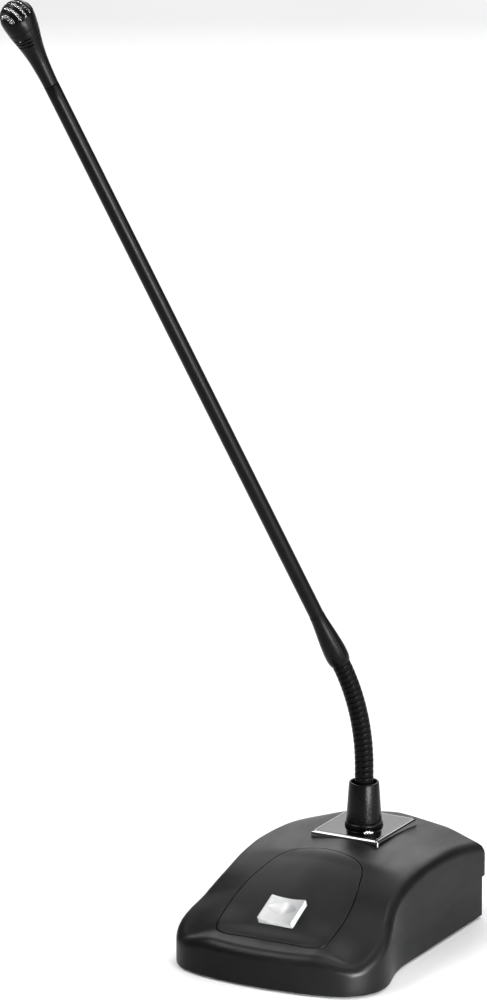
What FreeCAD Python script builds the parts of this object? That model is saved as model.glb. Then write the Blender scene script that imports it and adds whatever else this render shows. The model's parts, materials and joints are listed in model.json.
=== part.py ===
"""Gooseneck desk microphone on a weighted base with one talk button.

Millimetres, +Z up.  The origin is on the plane of the rubber feet, under the
middle of the base.  +X is the right-hand side seen from the front and -Y is
the front, where the talk button is.  The neck leans forwards and to the left.
"""
import FreeCAD, Part
import math
import os

V = FreeCAD.Vector
X_AXIS = V(1, 0, 0)
Y_AXIS = V(0, 1, 0)
Z_AXIS = V(0, 0, 1)

# ---- base housing -----------------------------------------------------------
COVER_BOTTOM = 1.0
WALL = 2.4
ROOF = 2.6
REAR_Y = 81.0
REAR_WALL_Y = 76.7
LIP_BOTTOM = 22.0
REAR_CORNER = 2.6
INNER_CORNER = 0.4
EDGE_ROUND = 3.0
ABOVE_ALL = 70.0
# right-hand half of the plan outline, from the front middle round the nose
# and the waist to where the flank runs straight
NOSE_OUTLINE = [(0, -77.7), (18, -76.9), (35, -74.3), (47.5, -69.3), (55.5, -60.5),
                (58.1, -49.5), (57.0, -41.5), (54.4, -33), (51.9, -24.5), (50.6, -16.5),
                (50.1, -5), (50.0, 10)]
FLANK_X = 49.1
# height of the crest along the middle: (y, z)
CREST = [(-100, 14), (-77, 19.4), (-73, 20.4), (-65.5, 22.8), (-58.5, 27.4), (-43, 35.5),
         (-24.4, 43.6), (-11, 48.6), (-1, 51.6), (6, 52.2), (17, 52.5), (40, 53.2), (60, 52.2),
         (81, 48.4), (100, 44)]
# the crease along each flank: (y, z) and (y, x)
CREASE_HEIGHT = [(-100, 15), (-62, 15), (-55.6, 18.5), (-46, 24), (-37, 28.7), (-30.5, 33),
                 (-23.5, 37.2), (-15, 40.8), (-5, 43.8), (4.5, 45.4), (15, 46.4), (26, 46.4),
                 (37, 45.9), (48, 44.8), (59, 43.0), (70, 40.8), (81, 38.4), (100, 35)]
CREASE_X = [(-100, 50), (-62, 51), (-50, 54.5), (-40, 53.5), (-33, 51.5), (-24, 49.2), (-16, 48),
            (0, 47.5), (48, 46.8), (81, 46), (100, 46)]
# the shoulder lies this far below the crest at y = 0, and more towards the rear
SHOULDER_DROP = 3.3
DROP_GROWTH = 0.012
GRID_X = 6.0
GRID_Y = 6.0

# ---- control panel and talk button ------------------------------------------
PANEL_THICK = 1.6
PANEL_GAP = 0.15
PANEL_LEDGE = 3.0
# right-hand half of the panel outline, bottom middle to top middle: (x, y)
PANEL_OUTLINE = [(0, -66.2), (15, -66.2), (26.5, -65.7), (30.4, -63.6), (32.0, -59.0),
                 (32.7, -50.5), (32.5, -40.3), (31.3, -31.7), (29.5, -24.4), (27.4, -17.6),
                 (23.7, -8.6), (19.8, -4.7), (15.3, -2.3), (8.5, -0.8), (0, -0.3)]
BUTTON_CENTRE = V(0, -49.8, 32.4)
BUTTON_TILT = 25.2
BUTTON_WIDTH = 19.7
BUTTON_LENGTH = 18.1
BUTTON_PROUD = 2.4
BUTTON_DEPTH = 4.0
BUTTON_GAP = 0.2
BUTTON_WALL = 1.5
FLANGE_REACH = 1.15
GUIDE_DEPTH = 8.0
GUIDE_TOP = -3.8
BOARD_THICK = 1.6
PLUNGER_R = 1.5

# ---- socket on the top of the base ------------------------------------------
SOCKET_Y = 38.8
PLATE_TOP = 53.8
PLATFORM_X = 19.4
PLATFORM_Y = (17.0, 60.5)
PLATFORM_BEVEL = 1.4
PLATFORM_BOTTOM = 44.0
FACE_X = 17.3
FACE_Y = (19.0, 58.5)
FACE_THICK = 1.4
SOCKET_BORE_R = 9.75
BARREL_R = 11.0
BARREL_BOTTOM = 28.0
BORE_FLOOR = 32.0
INSERT_R = 7.9
INSERT_TOP = 46.4
CONTACT_CIRCLE_R = 4.04
PIN_R = 1.2
PIN_CLEARANCE = 0.07
LATCH_R = 14.0
LATCH_TURN = 37.0
LATCH_WIDTH = 5.0
LATCH_DEPTH = 1.8
LATCH_PROUD = 0.8
LATCH_FOOT = 43.5
SPRING_FOOT = 33.4
SPRING_R = 1.1
SPRING_WIRE_R = 0.25

# ---- plug and cone at the foot of the neck ----------------------------------
SHELL_R = 9.45
SHELL_WALL = 1.25
SHELL_BOTTOM = 33.9
BEAD_R = 9.8
BEAD_THICK = 2.2
CONE_FOOT_R = 9.15
CONE_TOP_R = 7.8
CONE_TOP = 77.0
CUP_R = 6.5
CUP_FLOOR = 70.6

# ---- flexible neck ----------------------------------------------------------
NECK_R = 4.85
NECK_END_R = 4.25
NECK_FOOT = 73.0
NECK_STRAIGHT = 11.5
NECK_ARC = 60.0
NECK_LEAN = 26.8
NECK_TURN = 34.5
LINK_COUNT = 11
LINK_GAP = 0.65
BALL_R = 3.3
CUP_BALL_R = 3.62
NECK_BORE_R = 1.5

# ---- stem and microphone head, measured up from the end of the neck ---------
SLEEVE_TOP = 31.0
SLEEVE_R = 5.95
SLEEVE_FOOT_R = 5.3
STEM_R = 3.85
STEM_BORE_R = 3.0
SPIGOT_R = 2.93
SPIGOT_LENGTH = 9.0
DOME_CENTRE = 399.8
DOME_R = 8.75
HEAD_FOOT = DOME_CENTRE - 39.6
GRILLE_FOOT = DOME_CENTRE - 6.4
HEAD_WALL = 0.9
SLOT_WIDTH = 1.9
SLOT_PITCH = 3.35
SLOT_TURN = -21.0
VENT_FOOT = DOME_CENTRE - 14.6
VENT_WIDTH = 0.8
VENT_PITCH = 2.05
VENT_ARC = 87.0
VENT_START = -6.0
CAPSULE_R = 6.0
CAPSULE_RING_R = 6.7

# ---- inside the base --------------------------------------------------------
PLATE_BOTTOM = 1.5
PLATE_THICK = 2.0
FEET = [(-38, -52), (38, -52), (0, 0), (-38, 64), (38, 64)]
FOOT_R = 6.0
BOSSES = [(-46, -44), (46, -44), (-42.5, 30), (42.5, 30)]
BOSS_R = 3.2
BALLAST = ((-38, 38), (-60, -12), 12.0)
BOARD = ((-34, 34), (-8, 50), 16.0)
POSTS = [(-30, -4), (30, -4), (-30, 46), (30, 46)]
OUTLET_Z = 12.0
OUTLET_R = 9.15
OUTLET_BORE_R = 8.05
OUTLET_DEPTH = 15.0
MODE_SWITCH = (28.0, 60.0)
MODE_TRAVEL = 3.0


# ---- helpers ----------------------------------------------------------------
def save(shape, node):
    """Write one node; a node of several pieces is a compound of solids."""
    shape.exportStep("parts/" + node + ".step")


def box(x_span, y_span, z_span):
    """Box between three pairs of limits."""
    size = [abs(b - a) for a, b in (x_span, y_span, z_span)]
    corner = V(min(x_span), min(y_span), min(z_span))
    return Part.makeBox(size[0], size[1], size[2], corner)


def rod(radius, low, high, x=0.0, y=0.0):
    """Upright cylinder between two heights."""
    return Part.makeCylinder(radius, high - low, V(x, y, low))


def tube(outer, inner, low, high, x=0.0, y=0.0):
    """Upright tube between two heights."""
    return rod(outer, low, high, x, y).cut(rod(inner, low - 1, high + 1, x, y))


def lathe(profile):
    """Solid of revolution about Z from a closed (radius, height) outline."""
    points = [V(r, 0, z) for r, z in profile]
    wire = Part.makePolygon(points + [points[0]])
    return Part.Face(wire).revolve(V(0, 0, 0), Z_AXIS, 360)


def through(knots, at):
    """Monotone cubic curve through (position, value) knots."""
    slopes = [(b[1] - a[1]) / (b[0] - a[0]) for a, b in zip(knots, knots[1:])]
    tangents = [slopes[0]]
    for left, right in zip(slopes, slopes[1:]):
        same_way = left * right > 0
        tangents.append(2 * left * right / (left + right) if same_way else 0.0)
    tangents.append(slopes[-1])
    for i, (a, b) in enumerate(zip(knots, knots[1:])):
        if at <= b[0] or i == len(knots) - 2:
            span = b[0] - a[0]
            t = min(max((at - a[0]) / span, 0.0), 1.0)
            rise = a[1] * (1 + 2 * t) * (1 - t) ** 2 + b[1] * t * t * (3 - 2 * t)
            lean = tangents[i] * t * (1 - t) ** 2 + tangents[i + 1] * t * t * (t - 1)
            return rise + span * lean


def ease(t):
    """Smooth step from 0 to 1."""
    t = min(max(t, 0.0), 1.0)
    return t * t * (3 - 2 * t)


# ---- base housing -----------------------------------------------------------
def roof_height(x, y):
    """Height of the housing's top surface."""
    side = abs(x)
    crest = through(CREST, y)
    crease_z = through(CREASE_HEIGHT, y)
    crease_x = through(CREASE_X, y)
    shoulder_x = 28.5 + 3.0 * ((y - 25.0) / 100.0) ** 2
    nose = ease((-50.0 - y) / 20.0)
    shoulder_z = crest - (SHOULDER_DROP + DROP_GROWTH * y) * (1.0 - nose)
    if side <= shoulder_x:
        return crest - (crest - shoulder_z) * (side / shoulder_x) ** 1.7
    out = (side - shoulder_x) / (crease_x - shoulder_x)
    fall = (1.0 - nose) * out ** 1.2 + nose * ease(out / 0.6)
    return shoulder_z - (shoulder_z - crease_z) * fall


def roof_solid(lowered=0.0):
    """Everything under the housing's top surface, or under a lowered copy."""
    half_count = 11
    columns = [GRID_X * (i - half_count) for i in range(2 * half_count + 1)]
    rows = [GRID_Y * i - 90.0 for i in range(31)]
    grid = [[V(x, y, roof_height(x, y) - lowered) for y in rows] for x in columns]
    surface = Part.BSplineSurface()
    surface.interpolate(grid)
    return surface.toShape().extrude(V(0, 0, -ABOVE_ALL))


def beside(curve, distance, count):
    """Points at a distance to the left of a curve in plan."""
    first, last = curve.FirstParameter, curve.LastParameter
    points = []
    for i in range(count + 1):
        at = first + (last - first) * i / count
        along = curve.tangent(at)[0]
        points.append(curve.value(at) + V(-along.y, along.x, 0) * distance)
    return points


def outline_face(inset=0.0):
    """Plan outline of the base, drawn in by inset, as a flat face."""
    right = [V(x, y, 0) for x, y in NOSE_OUTLINE]
    left = [V(-x, y, 0) for x, y in reversed(NOSE_OUTLINE[1:])]
    ends = {"InitialTangent": V(0, -1, 0), "FinalTangent": V(0, 1, 0)}
    nose = Part.BSplineCurve()
    nose.interpolate(Points=left + right, **ends)
    if inset:
        nose.interpolate(Points=beside(nose, inset, 32), **ends)
    start = nose.EndPoint
    radius = max(REAR_CORNER - inset, INNER_CORNER)
    flank_x = FLANK_X - inset
    rear_y = REAR_Y - inset
    flank_y = rear_y - radius
    inner_x = flank_x - radius
    bend = radius * math.sqrt(0.5)
    edges = [nose.toShape(),
             Part.makeLine(start, V(flank_x, flank_y, 0)),
             Part.Arc(V(flank_x, flank_y, 0), V(inner_x + bend, flank_y + bend, 0),
                      V(inner_x, rear_y, 0)).toShape(),
             Part.makeLine(V(inner_x, rear_y, 0), V(-inner_x, rear_y, 0)),
             Part.Arc(V(-inner_x, rear_y, 0), V(-inner_x - bend, flank_y + bend, 0),
                      V(-flank_x, flank_y, 0)).toShape(),
             Part.makeLine(V(-flank_x, flank_y, 0), nose.StartPoint)]
    return Part.Face(Part.Wire(edges))


def outline_prism(inset, low, high):
    """Upright prism on the plan outline."""
    face = outline_face(inset)
    face.translate(V(0, 0, low))
    return face.extrude(V(0, 0, high - low))


def panel_face(grown=0.0):
    """Plan outline of the control panel, enlarged by grown, as a flat face."""
    right = [V(x, y, 0) for x, y in PANEL_OUTLINE]
    left = [V(-x, y, 0) for x, y in PANEL_OUTLINE[1:-1]]
    curve = Part.BSplineCurve()
    curve.interpolate(Points=right + list(reversed(left)), PeriodicFlag=True)
    if grown:
        curve.interpolate(Points=beside(curve, -grown, 48)[:-1], PeriodicFlag=True)
    return Part.Face(Part.Wire([curve.toShape()]))


def panel_prism(grown):
    """Upright prism on the control panel's outline."""
    return panel_face(grown).extrude(V(0, 0, ABOVE_ALL))


def on_button(shape):
    """Move a shape from the button's own frame to its place on the slope."""
    placed = shape.copy()
    placed.rotate(V(0, 0, 0), X_AXIS, BUTTON_TILT)
    placed.translate(BUTTON_CENTRE)
    return placed


def button_block(margin, low, high):
    """Block over the button's footprint in the button's frame."""
    half_x = BUTTON_WIDTH / 2 + margin
    half_y = BUTTON_LENGTH / 2 + margin
    return box((-half_x, half_x), (-half_y, half_y), (low, high))


def platform_block(margin, low, high):
    """Block over the socket platform's footprint."""
    x = PLATFORM_X + margin
    return box((-x, x), (PLATFORM_Y[0] - margin, PLATFORM_Y[1] + margin), (low, high))


def rounded_housing():
    """Outer shape of the housing with its long top edge rounded."""
    blank = outline_prism(0.0, COVER_BOTTOM, ABOVE_ALL).common(roof_solid())
    blank = blank.Solids[0]
    rim = [e for e in blank.Edges
           if e.BoundBox.ZMax > COVER_BOTTOM + 8 and e.BoundBox.ZLength < 40
           and not vertical(e)]
    return blank.makeFillet(EDGE_ROUND, rim)


def vertical(edge):
    """True for an edge that runs straight up."""
    size = edge.BoundBox
    return size.XLength < 0.01 and size.YLength < 0.01


def make_housing():
    """The cover and the control panel that is let into it."""
    outer = rounded_housing()
    hollow = outline_prism(WALL, 0.0, ABOVE_ALL).common(roof_solid(ROOF))
    cover = outer.cut(hollow)
    for x, y in BOSSES:
        post = rod(BOSS_R, PLATE_BOTTOM + PLATE_THICK, ABOVE_ALL, x, y)
        cover = cover.fuse(post.common(roof_solid(ROOF / 2)))
        cover = cover.cut(rod(1.55, 0, 15, x, y))
    cover = cover.cut(box((-60, 60), (REAR_WALL_Y, 90), (0, LIP_BOTTOM)))
    cover = cover.cut(platform_block(0.15, 40, ABOVE_ALL))
    pocket = panel_prism(PANEL_GAP).cut(roof_solid(PANEL_THICK))
    cover = cover.cut(pocket)
    cover = cover.cut(panel_prism(-PANEL_LEDGE))
    save(cover.removeSplitter(), "top_cover")

    panel = panel_prism(-PANEL_GAP).common(roof_solid())
    panel = panel.cut(roof_solid(PANEL_THICK))
    panel = panel.cut(on_button(button_block(BUTTON_GAP, -10, 10)))
    save(panel, "control_panel")


# ---- talk button ------------------------------------------------------------
def make_button():
    """The translucent cap, its guide, and the small board with its switch."""
    dish_r = 42.0
    cap = button_block(0.0, -BUTTON_DEPTH, BUTTON_PROUD + 0.5)
    dish = Part.makeCylinder(dish_r, 60, V(0, -30, BUTTON_PROUD - 0.8 + dish_r), Y_AXIS)
    cap = cap.cut(dish)
    cap = cap.fuse(button_block(FLANGE_REACH, -BUTTON_DEPTH, 1.0 - BUTTON_DEPTH))
    cap = cap.cut(button_block(-BUTTON_WALL, -BUTTON_DEPTH - 1, 0.4))
    cap = cap.fuse(rod(2.2, -BUTTON_DEPTH - 0.2, 1.0))
    save(on_button(cap.removeSplitter()), "push_button")

    plunger_top = -BUTTON_DEPTH - 0.2
    save(on_button(rod(PLUNGER_R, plunger_top - 2.2, plunger_top)), "switch_plunger")

    inner = FLANGE_REACH + 0.3
    guide = button_block(inner + 1.6, -GUIDE_DEPTH, GUIDE_TOP)
    guide = guide.cut(button_block(inner, -GUIDE_DEPTH - 1, 0))
    save(on_button(guide), "button_guide")

    board_top = -GUIDE_DEPTH
    board = button_block(inner + 1.6, board_top - BOARD_THICK, board_top)
    save(on_button(board), "switch_board")

    switch = box((-3.1, 3.1), (-3.1, 3.1), (board_top, board_top + 2.2))
    switch = switch.cut(rod(PLUNGER_R + 0.3, board_top + 0.2, 0))
    save(on_button(switch), "tact_switch")

    lights = []
    for x in (-6.5, 6.5):
        for y in (-5.5, 5.5):
            lens = rod(1.5, board_top, board_top + 1.6, x, y)
            lights.append(lens.fuse(Part.makeSphere(1.5, V(x, y, board_top + 1.6))))
    save(on_button(Part.makeCompound(lights)), "button_lights")


# ---- socket -----------------------------------------------------------------
def contact_spots():
    """Plan places of the three contacts about the socket's axis."""
    angles = [math.radians(a) for a in (0, 180, 270)]
    return [(CONTACT_CIRCLE_R * math.cos(a), SOCKET_Y + CONTACT_CIRCLE_R * math.sin(a))
            for a in angles]


def latch_block(margin, low, high, radius=LATCH_R):
    """Block over the latch tab, in front of the socket's bore."""
    half = LATCH_WIDTH / 2 + margin
    near = -radius - LATCH_DEPTH / 2 - margin
    far = -radius + LATCH_DEPTH / 2 + margin
    block = box((-half, half), (near, far), (low, high))
    block.rotate(V(0, 0, 0), Z_AXIS, LATCH_TURN)
    block.translate(V(0, SOCKET_Y, 0))
    return block


def make_socket():
    """The glossy platform and the locking socket that it holds."""
    y_low, y_high = PLATFORM_Y
    platform = platform_block(0.0, PLATFORM_BOTTOM, PLATE_TOP)
    top_edges = [e for e in platform.Edges if e.BoundBox.ZMin > PLATE_TOP - 0.01]
    platform = platform.makeChamfer(PLATFORM_BEVEL - 0.1, top_edges)
    face_bottom = PLATE_TOP - FACE_THICK
    pocket_x = FACE_X + 0.1
    platform = platform.cut(box((-pocket_x, pocket_x), (FACE_Y[0] - 0.1, FACE_Y[1] + 0.1),
                                (face_bottom, ABOVE_ALL)))
    inner_x = PLATFORM_X - 3.4
    platform = platform.cut(box((-inner_x, inner_x), (y_low + 3.4, y_high - 3.4),
                                (PLATFORM_BOTTOM - 1, face_bottom)))
    save(platform.removeSplitter(), "socket_platform")

    face = box((-FACE_X, FACE_X), FACE_Y, (face_bottom, PLATE_TOP))
    face = face.cut(rod(SOCKET_BORE_R, 40, 60, 0, SOCKET_Y))
    face = face.cut(latch_block(0.3, 40, 60))
    save(face, "socket_faceplate")

    barrel = rod(BARREL_R, BARREL_BOTTOM, face_bottom, 0, SOCKET_Y)
    barrel = barrel.cut(rod(SOCKET_BORE_R, BORE_FLOOR, 60, 0, SOCKET_Y))
    for x, y in contact_spots():
        barrel = barrel.cut(rod(PIN_R + 0.8, 20, 40, x, y))
    lug = latch_block(0.6, SPRING_FOOT - 2.4, SPRING_FOOT)
    lug = lug.fuse(latch_block(0.6, SPRING_FOOT - 2.4, SPRING_FOOT, LATCH_R - 2.6))
    barrel = barrel.fuse(lug).cut(rod(SOCKET_BORE_R, BORE_FLOOR, 60, 0, SOCKET_Y))
    save(barrel.removeSplitter(), "socket_barrel")

    insert = rod(INSERT_R, BORE_FLOOR, INSERT_TOP, 0, SOCKET_Y)
    contacts = []
    leads = []
    for x, y in contact_spots():
        insert = insert.cut(rod(PIN_R + 0.72, 20, 60, x, y))
        contact = tube(PIN_R + 0.7, PIN_R + PIN_CLEARANCE, BORE_FLOOR, INSERT_TOP - 0.6, x, y)
        contacts.append(contact.fuse(rod(PIN_R + 0.3, 24, BORE_FLOOR + 0.8, x, y)))
        leads.append(rod(0.75, BOARD[2] + BOARD_THICK, 24, x, y))
    save(insert, "socket_insert")
    save(Part.makeCompound(contacts), "socket_contacts")
    save(Part.makeCompound(leads), "socket_leads")

    save(latch_block(0.0, LATCH_FOOT, PLATE_TOP + LATCH_PROUD), "latch_tab")

    turn = math.radians(LATCH_TURN)
    spring_x = LATCH_R * math.sin(turn)
    spring_y = SOCKET_Y - LATCH_R * math.cos(turn)
    spring_low = SPRING_FOOT + SPRING_WIRE_R + 0.05
    spring_rise = LATCH_FOOT - SPRING_WIRE_R - 0.05 - spring_low
    helix = Part.makeHelix(spring_rise / 5, spring_rise, SPRING_R)
    section = Part.Wire([Part.makeCircle(SPRING_WIRE_R, V(SPRING_R, 0, 0), Y_AXIS)])
    spring = Part.Wire(helix.Edges).makePipeShell([section], True, True)
    spring.translate(V(spring_x, spring_y, spring_low))
    save(spring, "latch_spring")


# ---- plug and cone ----------------------------------------------------------
def make_plug():
    """The connector at the foot of the neck and the cone over it."""
    def placed(shape):
        shape.translate(V(0, SOCKET_Y, 0))
        return shape

    seat = PLATE_TOP + 0.05
    shell = tube(SHELL_R, SHELL_R - SHELL_WALL, SHELL_BOTTOM, seat)
    save(placed(shell), "plug_shell")

    insert = rod(SHELL_R - SHELL_WALL - 0.02, INSERT_TOP + 0.6, seat)
    pins = []
    for x, y in contact_spots():
        insert = insert.cut(rod(PIN_R + 0.02, 30, 60, x, y - SOCKET_Y))
        pin = rod(PIN_R, 35.0, 52.0, x, y)
        pins.append(pin.makeFillet(0.7, [e for e in pin.Edges if e.BoundBox.ZMax < 35.1]))
    save(placed(insert), "plug_insert")
    save(Part.makeCompound(pins), "plug_pins")

    bead = tube(BEAD_R, 5.0, seat, seat + BEAD_THICK)
    rims = [e for e in bead.Edges if e.Length > 6 * BEAD_R]
    save(placed(bead.makeFillet(BEAD_THICK * 0.45, rims)), "flange_ring")

    foot = seat + BEAD_THICK
    cone = lathe([(NECK_R + 0.1, foot), (CONE_FOOT_R, foot), (CONE_TOP_R, CONE_TOP - 0.4),
                  (CONE_TOP_R - 0.4, CONE_TOP), (CUP_R + 0.3, CONE_TOP),
                  (CUP_R, CONE_TOP - 0.3), (CUP_R, CUP_FLOOR), (NECK_R + 0.1, CUP_FLOOR)])
    save(placed(cone), "plug_cone")

    ferrule = rod(NECK_R, foot - 1.0, NECK_FOOT - LINK_GAP)
    ferrule = ferrule.fuse(ball_at(NECK_FOOT))
    ferrule = ferrule.cut(rod(NECK_BORE_R, 0, 90))
    save(placed(ferrule), "neck_ferrule")


# ---- flexible neck ----------------------------------------------------------
def ball_at(height):
    """Ball of a neck joint with its crown cut flat."""
    ball = Part.makeSphere(BALL_R, V(0, 0, height))
    return ball.cut(box((-9, 9), (-9, 9), (height + BALL_R - 0.5, height + 9)))


def neck_forward():
    """Level direction in which the neck leans."""
    turn = math.radians(NECK_TURN)
    return V(-math.sin(turn), -math.cos(turn), 0)


def neck_point(along):
    """Point of the neck's centre line at a distance from its foot."""
    base = V(0, SOCKET_Y, NECK_FOOT)
    if along <= NECK_STRAIGHT:
        return base + Z_AXIS * along
    radius = NECK_ARC / math.radians(NECK_LEAN)
    angle = (along - NECK_STRAIGHT) / radius
    rise = NECK_STRAIGHT + radius * math.sin(angle)
    return base + Z_AXIS * rise + neck_forward() * (radius * (1 - math.cos(angle)))


def stand_on(shape, foot, direction):
    """Move a shape built up the Z axis to a foot point and a direction."""
    placed = shape.copy()
    placed.Placement = FreeCAD.Placement(foot, FreeCAD.Rotation(Z_AXIS, direction))
    return placed


def make_neck():
    """The chain of hollow links that bends."""
    pitch = (NECK_STRAIGHT + NECK_ARC) / LINK_COUNT
    for number in range(1, LINK_COUNT + 1):
        low = neck_point(pitch * (number - 1))
        high = neck_point(pitch * number)
        length = (high - low).Length
        link = lathe([(0, LINK_GAP), (NECK_END_R, LINK_GAP), (NECK_R, LINK_GAP + 1.0),
                      (NECK_R, length - LINK_GAP - 1.0), (NECK_END_R, length - LINK_GAP),
                      (0, length - LINK_GAP)])
        link = link.fuse(ball_at(length))
        link = link.cut(Part.makeSphere(CUP_BALL_R, V(0, 0, 0)))
        link = link.cut(rod(NECK_BORE_R, -5, 20))
        save(stand_on(link, low, high - low), "neck_link_%02d" % number)


# ---- stem and head ----------------------------------------------------------
def head_radius(height):
    """Outer radius of the head's flare, up to where the grille begins."""
    knots = [(0, STEM_R), (6.6, 4.1), (13.6, 4.6), (19.8, 5.4), (25.9, 6.55),
             (30.6, 7.6), (GRILLE_FOOT - HEAD_FOOT, 8.05)]
    return through(knots, height - HEAD_FOOT)


def flare(inset, low, high):
    """Solid of the head's flare between two heights, made thinner by inset."""
    count = 12
    heights = [low + (high - low) * i / count for i in range(count + 1)]
    curve = Part.BSplineCurve()
    curve.interpolate([V(head_radius(h) - inset, 0, h) for h in heights])
    top = V(head_radius(high) - inset, 0, high)
    foot = V(head_radius(low) - inset, 0, low)
    wire = Part.Wire([curve.toShape(), Part.makeLine(top, V(0, 0, high)),
                      Part.makeLine(V(0, 0, high), V(0, 0, low)),
                      Part.makeLine(V(0, 0, low), foot)])
    return Part.Face(wire).revolve(V(0, 0, 0), Z_AXIS, 360)


def dome(radius):
    """Ball-ended solid of the head's upper part."""
    taper = lathe([(0, GRILLE_FOOT), (head_radius(GRILLE_FOOT) - DOME_R + radius, GRILLE_FOOT),
                   (radius, DOME_CENTRE - 1.0), (radius, DOME_CENTRE), (0, DOME_CENTRE)])
    return taper.fuse(Part.makeSphere(radius, V(0, 0, DOME_CENTRE), Z_AXIS, 0, 90, 360))


def make_stem():
    """Everything that the end of the neck carries."""
    foot = neck_point(NECK_STRAIGHT + NECK_ARC)
    lean = math.radians(NECK_LEAN)
    direction = neck_forward() * math.sin(lean) + Z_AXIS * math.cos(lean)

    def put(shape, node):
        save(stand_on(shape, foot, direction), node)

    sleeve = lathe([(0, LINK_GAP), (SLEEVE_FOOT_R, LINK_GAP), (5.75, 2.2), (SLEEVE_R, 5.5),
                    (5.8, 10), (5.3, 16), (4.6, 22.5), (4.05, 28), (STEM_R + 0.05, SLEEVE_TOP),
                    (0, SLEEVE_TOP)])
    sleeve = sleeve.cut(Part.makeSphere(CUP_BALL_R, V(0, 0, 0)))
    sleeve = sleeve.cut(rod(NECK_BORE_R, -5, 40))
    sleeve = sleeve.cut(rod(STEM_BORE_R, SLEEVE_TOP - SPIGOT_LENGTH, 40))
    put(sleeve, "coupling_sleeve")

    stem = rod(STEM_R, SLEEVE_TOP, HEAD_FOOT)
    stem = stem.fuse(rod(SPIGOT_R, SLEEVE_TOP - SPIGOT_LENGTH, SLEEVE_TOP + 1))
    stem = stem.cut(rod(2.0, 0, SLEEVE_TOP + 1))
    stem = stem.cut(rod(STEM_BORE_R, SLEEVE_TOP + 1, HEAD_FOOT + 1))
    put(stem, "stem_tube")

    housing = flare(0.0, HEAD_FOOT, GRILLE_FOOT)
    housing = housing.fuse(rod(SPIGOT_R, HEAD_FOOT - SPIGOT_LENGTH, HEAD_FOOT + 1))
    housing = housing.cut(flare(HEAD_WALL, HEAD_FOOT + 1.5, GRILLE_FOOT))
    housing = housing.cut(rod(2.0, HEAD_FOOT - 20, HEAD_FOOT + 2))
    for side in range(3):
        for row in range(3):
            height = VENT_FOOT + VENT_PITCH * row
            slit = Part.makeCylinder(10, VENT_WIDTH, V(0, 0, height), Z_AXIS, VENT_ARC)
            slit.rotate(V(0, 0, 0), Z_AXIS, VENT_START + 120 * side)
            housing = housing.cut(slit)
    put(housing.removeSplitter(), "head_housing")

    grille = dome(DOME_R).cut(dome(DOME_R - HEAD_WALL))
    for number in (-2, -1, 0, 1, 2):
        middle = SLOT_PITCH * number
        half = SLOT_WIDTH / 2
        slot = box((-10, 10), (middle - half, middle + half), (DOME_CENTRE + 0.5, 420))
        slot.rotate(V(0, 0, 0), Z_AXIS, SLOT_TURN)
        grille = grille.cut(slot)
    put(grille.removeSplitter(), "head_grille")

    screen = dome(DOME_R - HEAD_WALL - 0.05).cut(dome(DOME_R - HEAD_WALL - 0.35))
    put(screen, "mesh_screen")

    foam = dome(DOME_R - HEAD_WALL - 0.5)
    foam = foam.cut(rod(20, GRILLE_FOOT - 5, DOME_CENTRE - 1.2))
    put(foam, "foam_disc")

    capsule = rod(CAPSULE_R, DOME_CENTRE - 10.0, DOME_CENTRE - 1.5)
    capsule = capsule.cut(rod(5.0, DOME_CENTRE - 2.1, DOME_CENTRE))
    put(capsule, "capsule")
    ring = tube(CAPSULE_RING_R, CAPSULE_R + 0.05, GRILLE_FOOT + 0.2, GRILLE_FOOT + 3.4)
    put(ring, "capsule_ring")
    put(rod(1.2, SLEEVE_TOP - 6, DOME_CENTRE - 10.1), "stem_lead")


# ---- rear panel and outlet --------------------------------------------------
def make_outlet():
    """The recessed rear panel and the three-pin outlet in it."""
    def along_y(radius, low, high, x=0.0, z=OUTLET_Z):
        return Part.makeCylinder(radius, high - low, V(x, low, z), Y_AXIS)

    panel_front = REAR_WALL_Y - 2.5
    panel = box((-45.2, 45.2), (panel_front, REAR_WALL_Y), (PLATE_BOTTOM + PLATE_THICK, 30))
    panel = panel.cut(along_y(OUTLET_R + 0.05, 60, 90))
    for x in (-12.2, 12.2):
        panel = panel.cut(along_y(1.3, 60, 90, x))
    save(panel, "rear_panel")

    face = REAR_WALL_Y + 1.2
    flange = box((-15, 15), (REAR_WALL_Y, face), (OUTLET_Z - OUTLET_R, OUTLET_Z + OUTLET_R))
    corners = [e for e in flange.Edges if e.BoundBox.XLength < 0.1 and e.BoundBox.ZLength < 0.1]
    shell = flange.makeFillet(2.5, corners)
    shell = shell.fuse(along_y(OUTLET_R, face - OUTLET_DEPTH - 3, REAR_WALL_Y + 0.5))
    shell = shell.cut(along_y(OUTLET_BORE_R, face - OUTLET_DEPTH, 90))
    screws = []
    for x in (-12.2, 12.2):
        shell = shell.cut(along_y(1.3, 60, 90, x))
        head = along_y(2.2, face, face + 1.2, x)
        screws.append(head.fuse(along_y(1.25, panel_front - 2, face + 0.5, x)))
    save(shell.removeSplitter(), "output_shell")
    save(Part.makeCompound(screws), "output_screws")

    floor = face - OUTLET_DEPTH
    insert = along_y(OUTLET_BORE_R - 0.02, floor, floor + 2.0)
    pins = []
    for x, z in ((4.04, 0), (-4.04, 0), (0, -4.04)):
        insert = insert.cut(along_y(PIN_R + 0.02, 50, 90, x, OUTLET_Z + z))
        pins.append(along_y(PIN_R, floor + 0.1, face - 1.5, x, OUTLET_Z + z))
    save(insert, "output_insert")
    save(Part.makeCompound(pins), "output_pins")


# ---- floor of the base ------------------------------------------------------
def cap_screw(x, y, low, top, shaft_r):
    """Screw driven up from below, with its flat head let into the plate."""
    head = Part.makeCone(shaft_r * 2, shaft_r, 1.4, V(x, y, low))
    return head.fuse(rod(shaft_r, low + 1.3, top, x, y))


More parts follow.
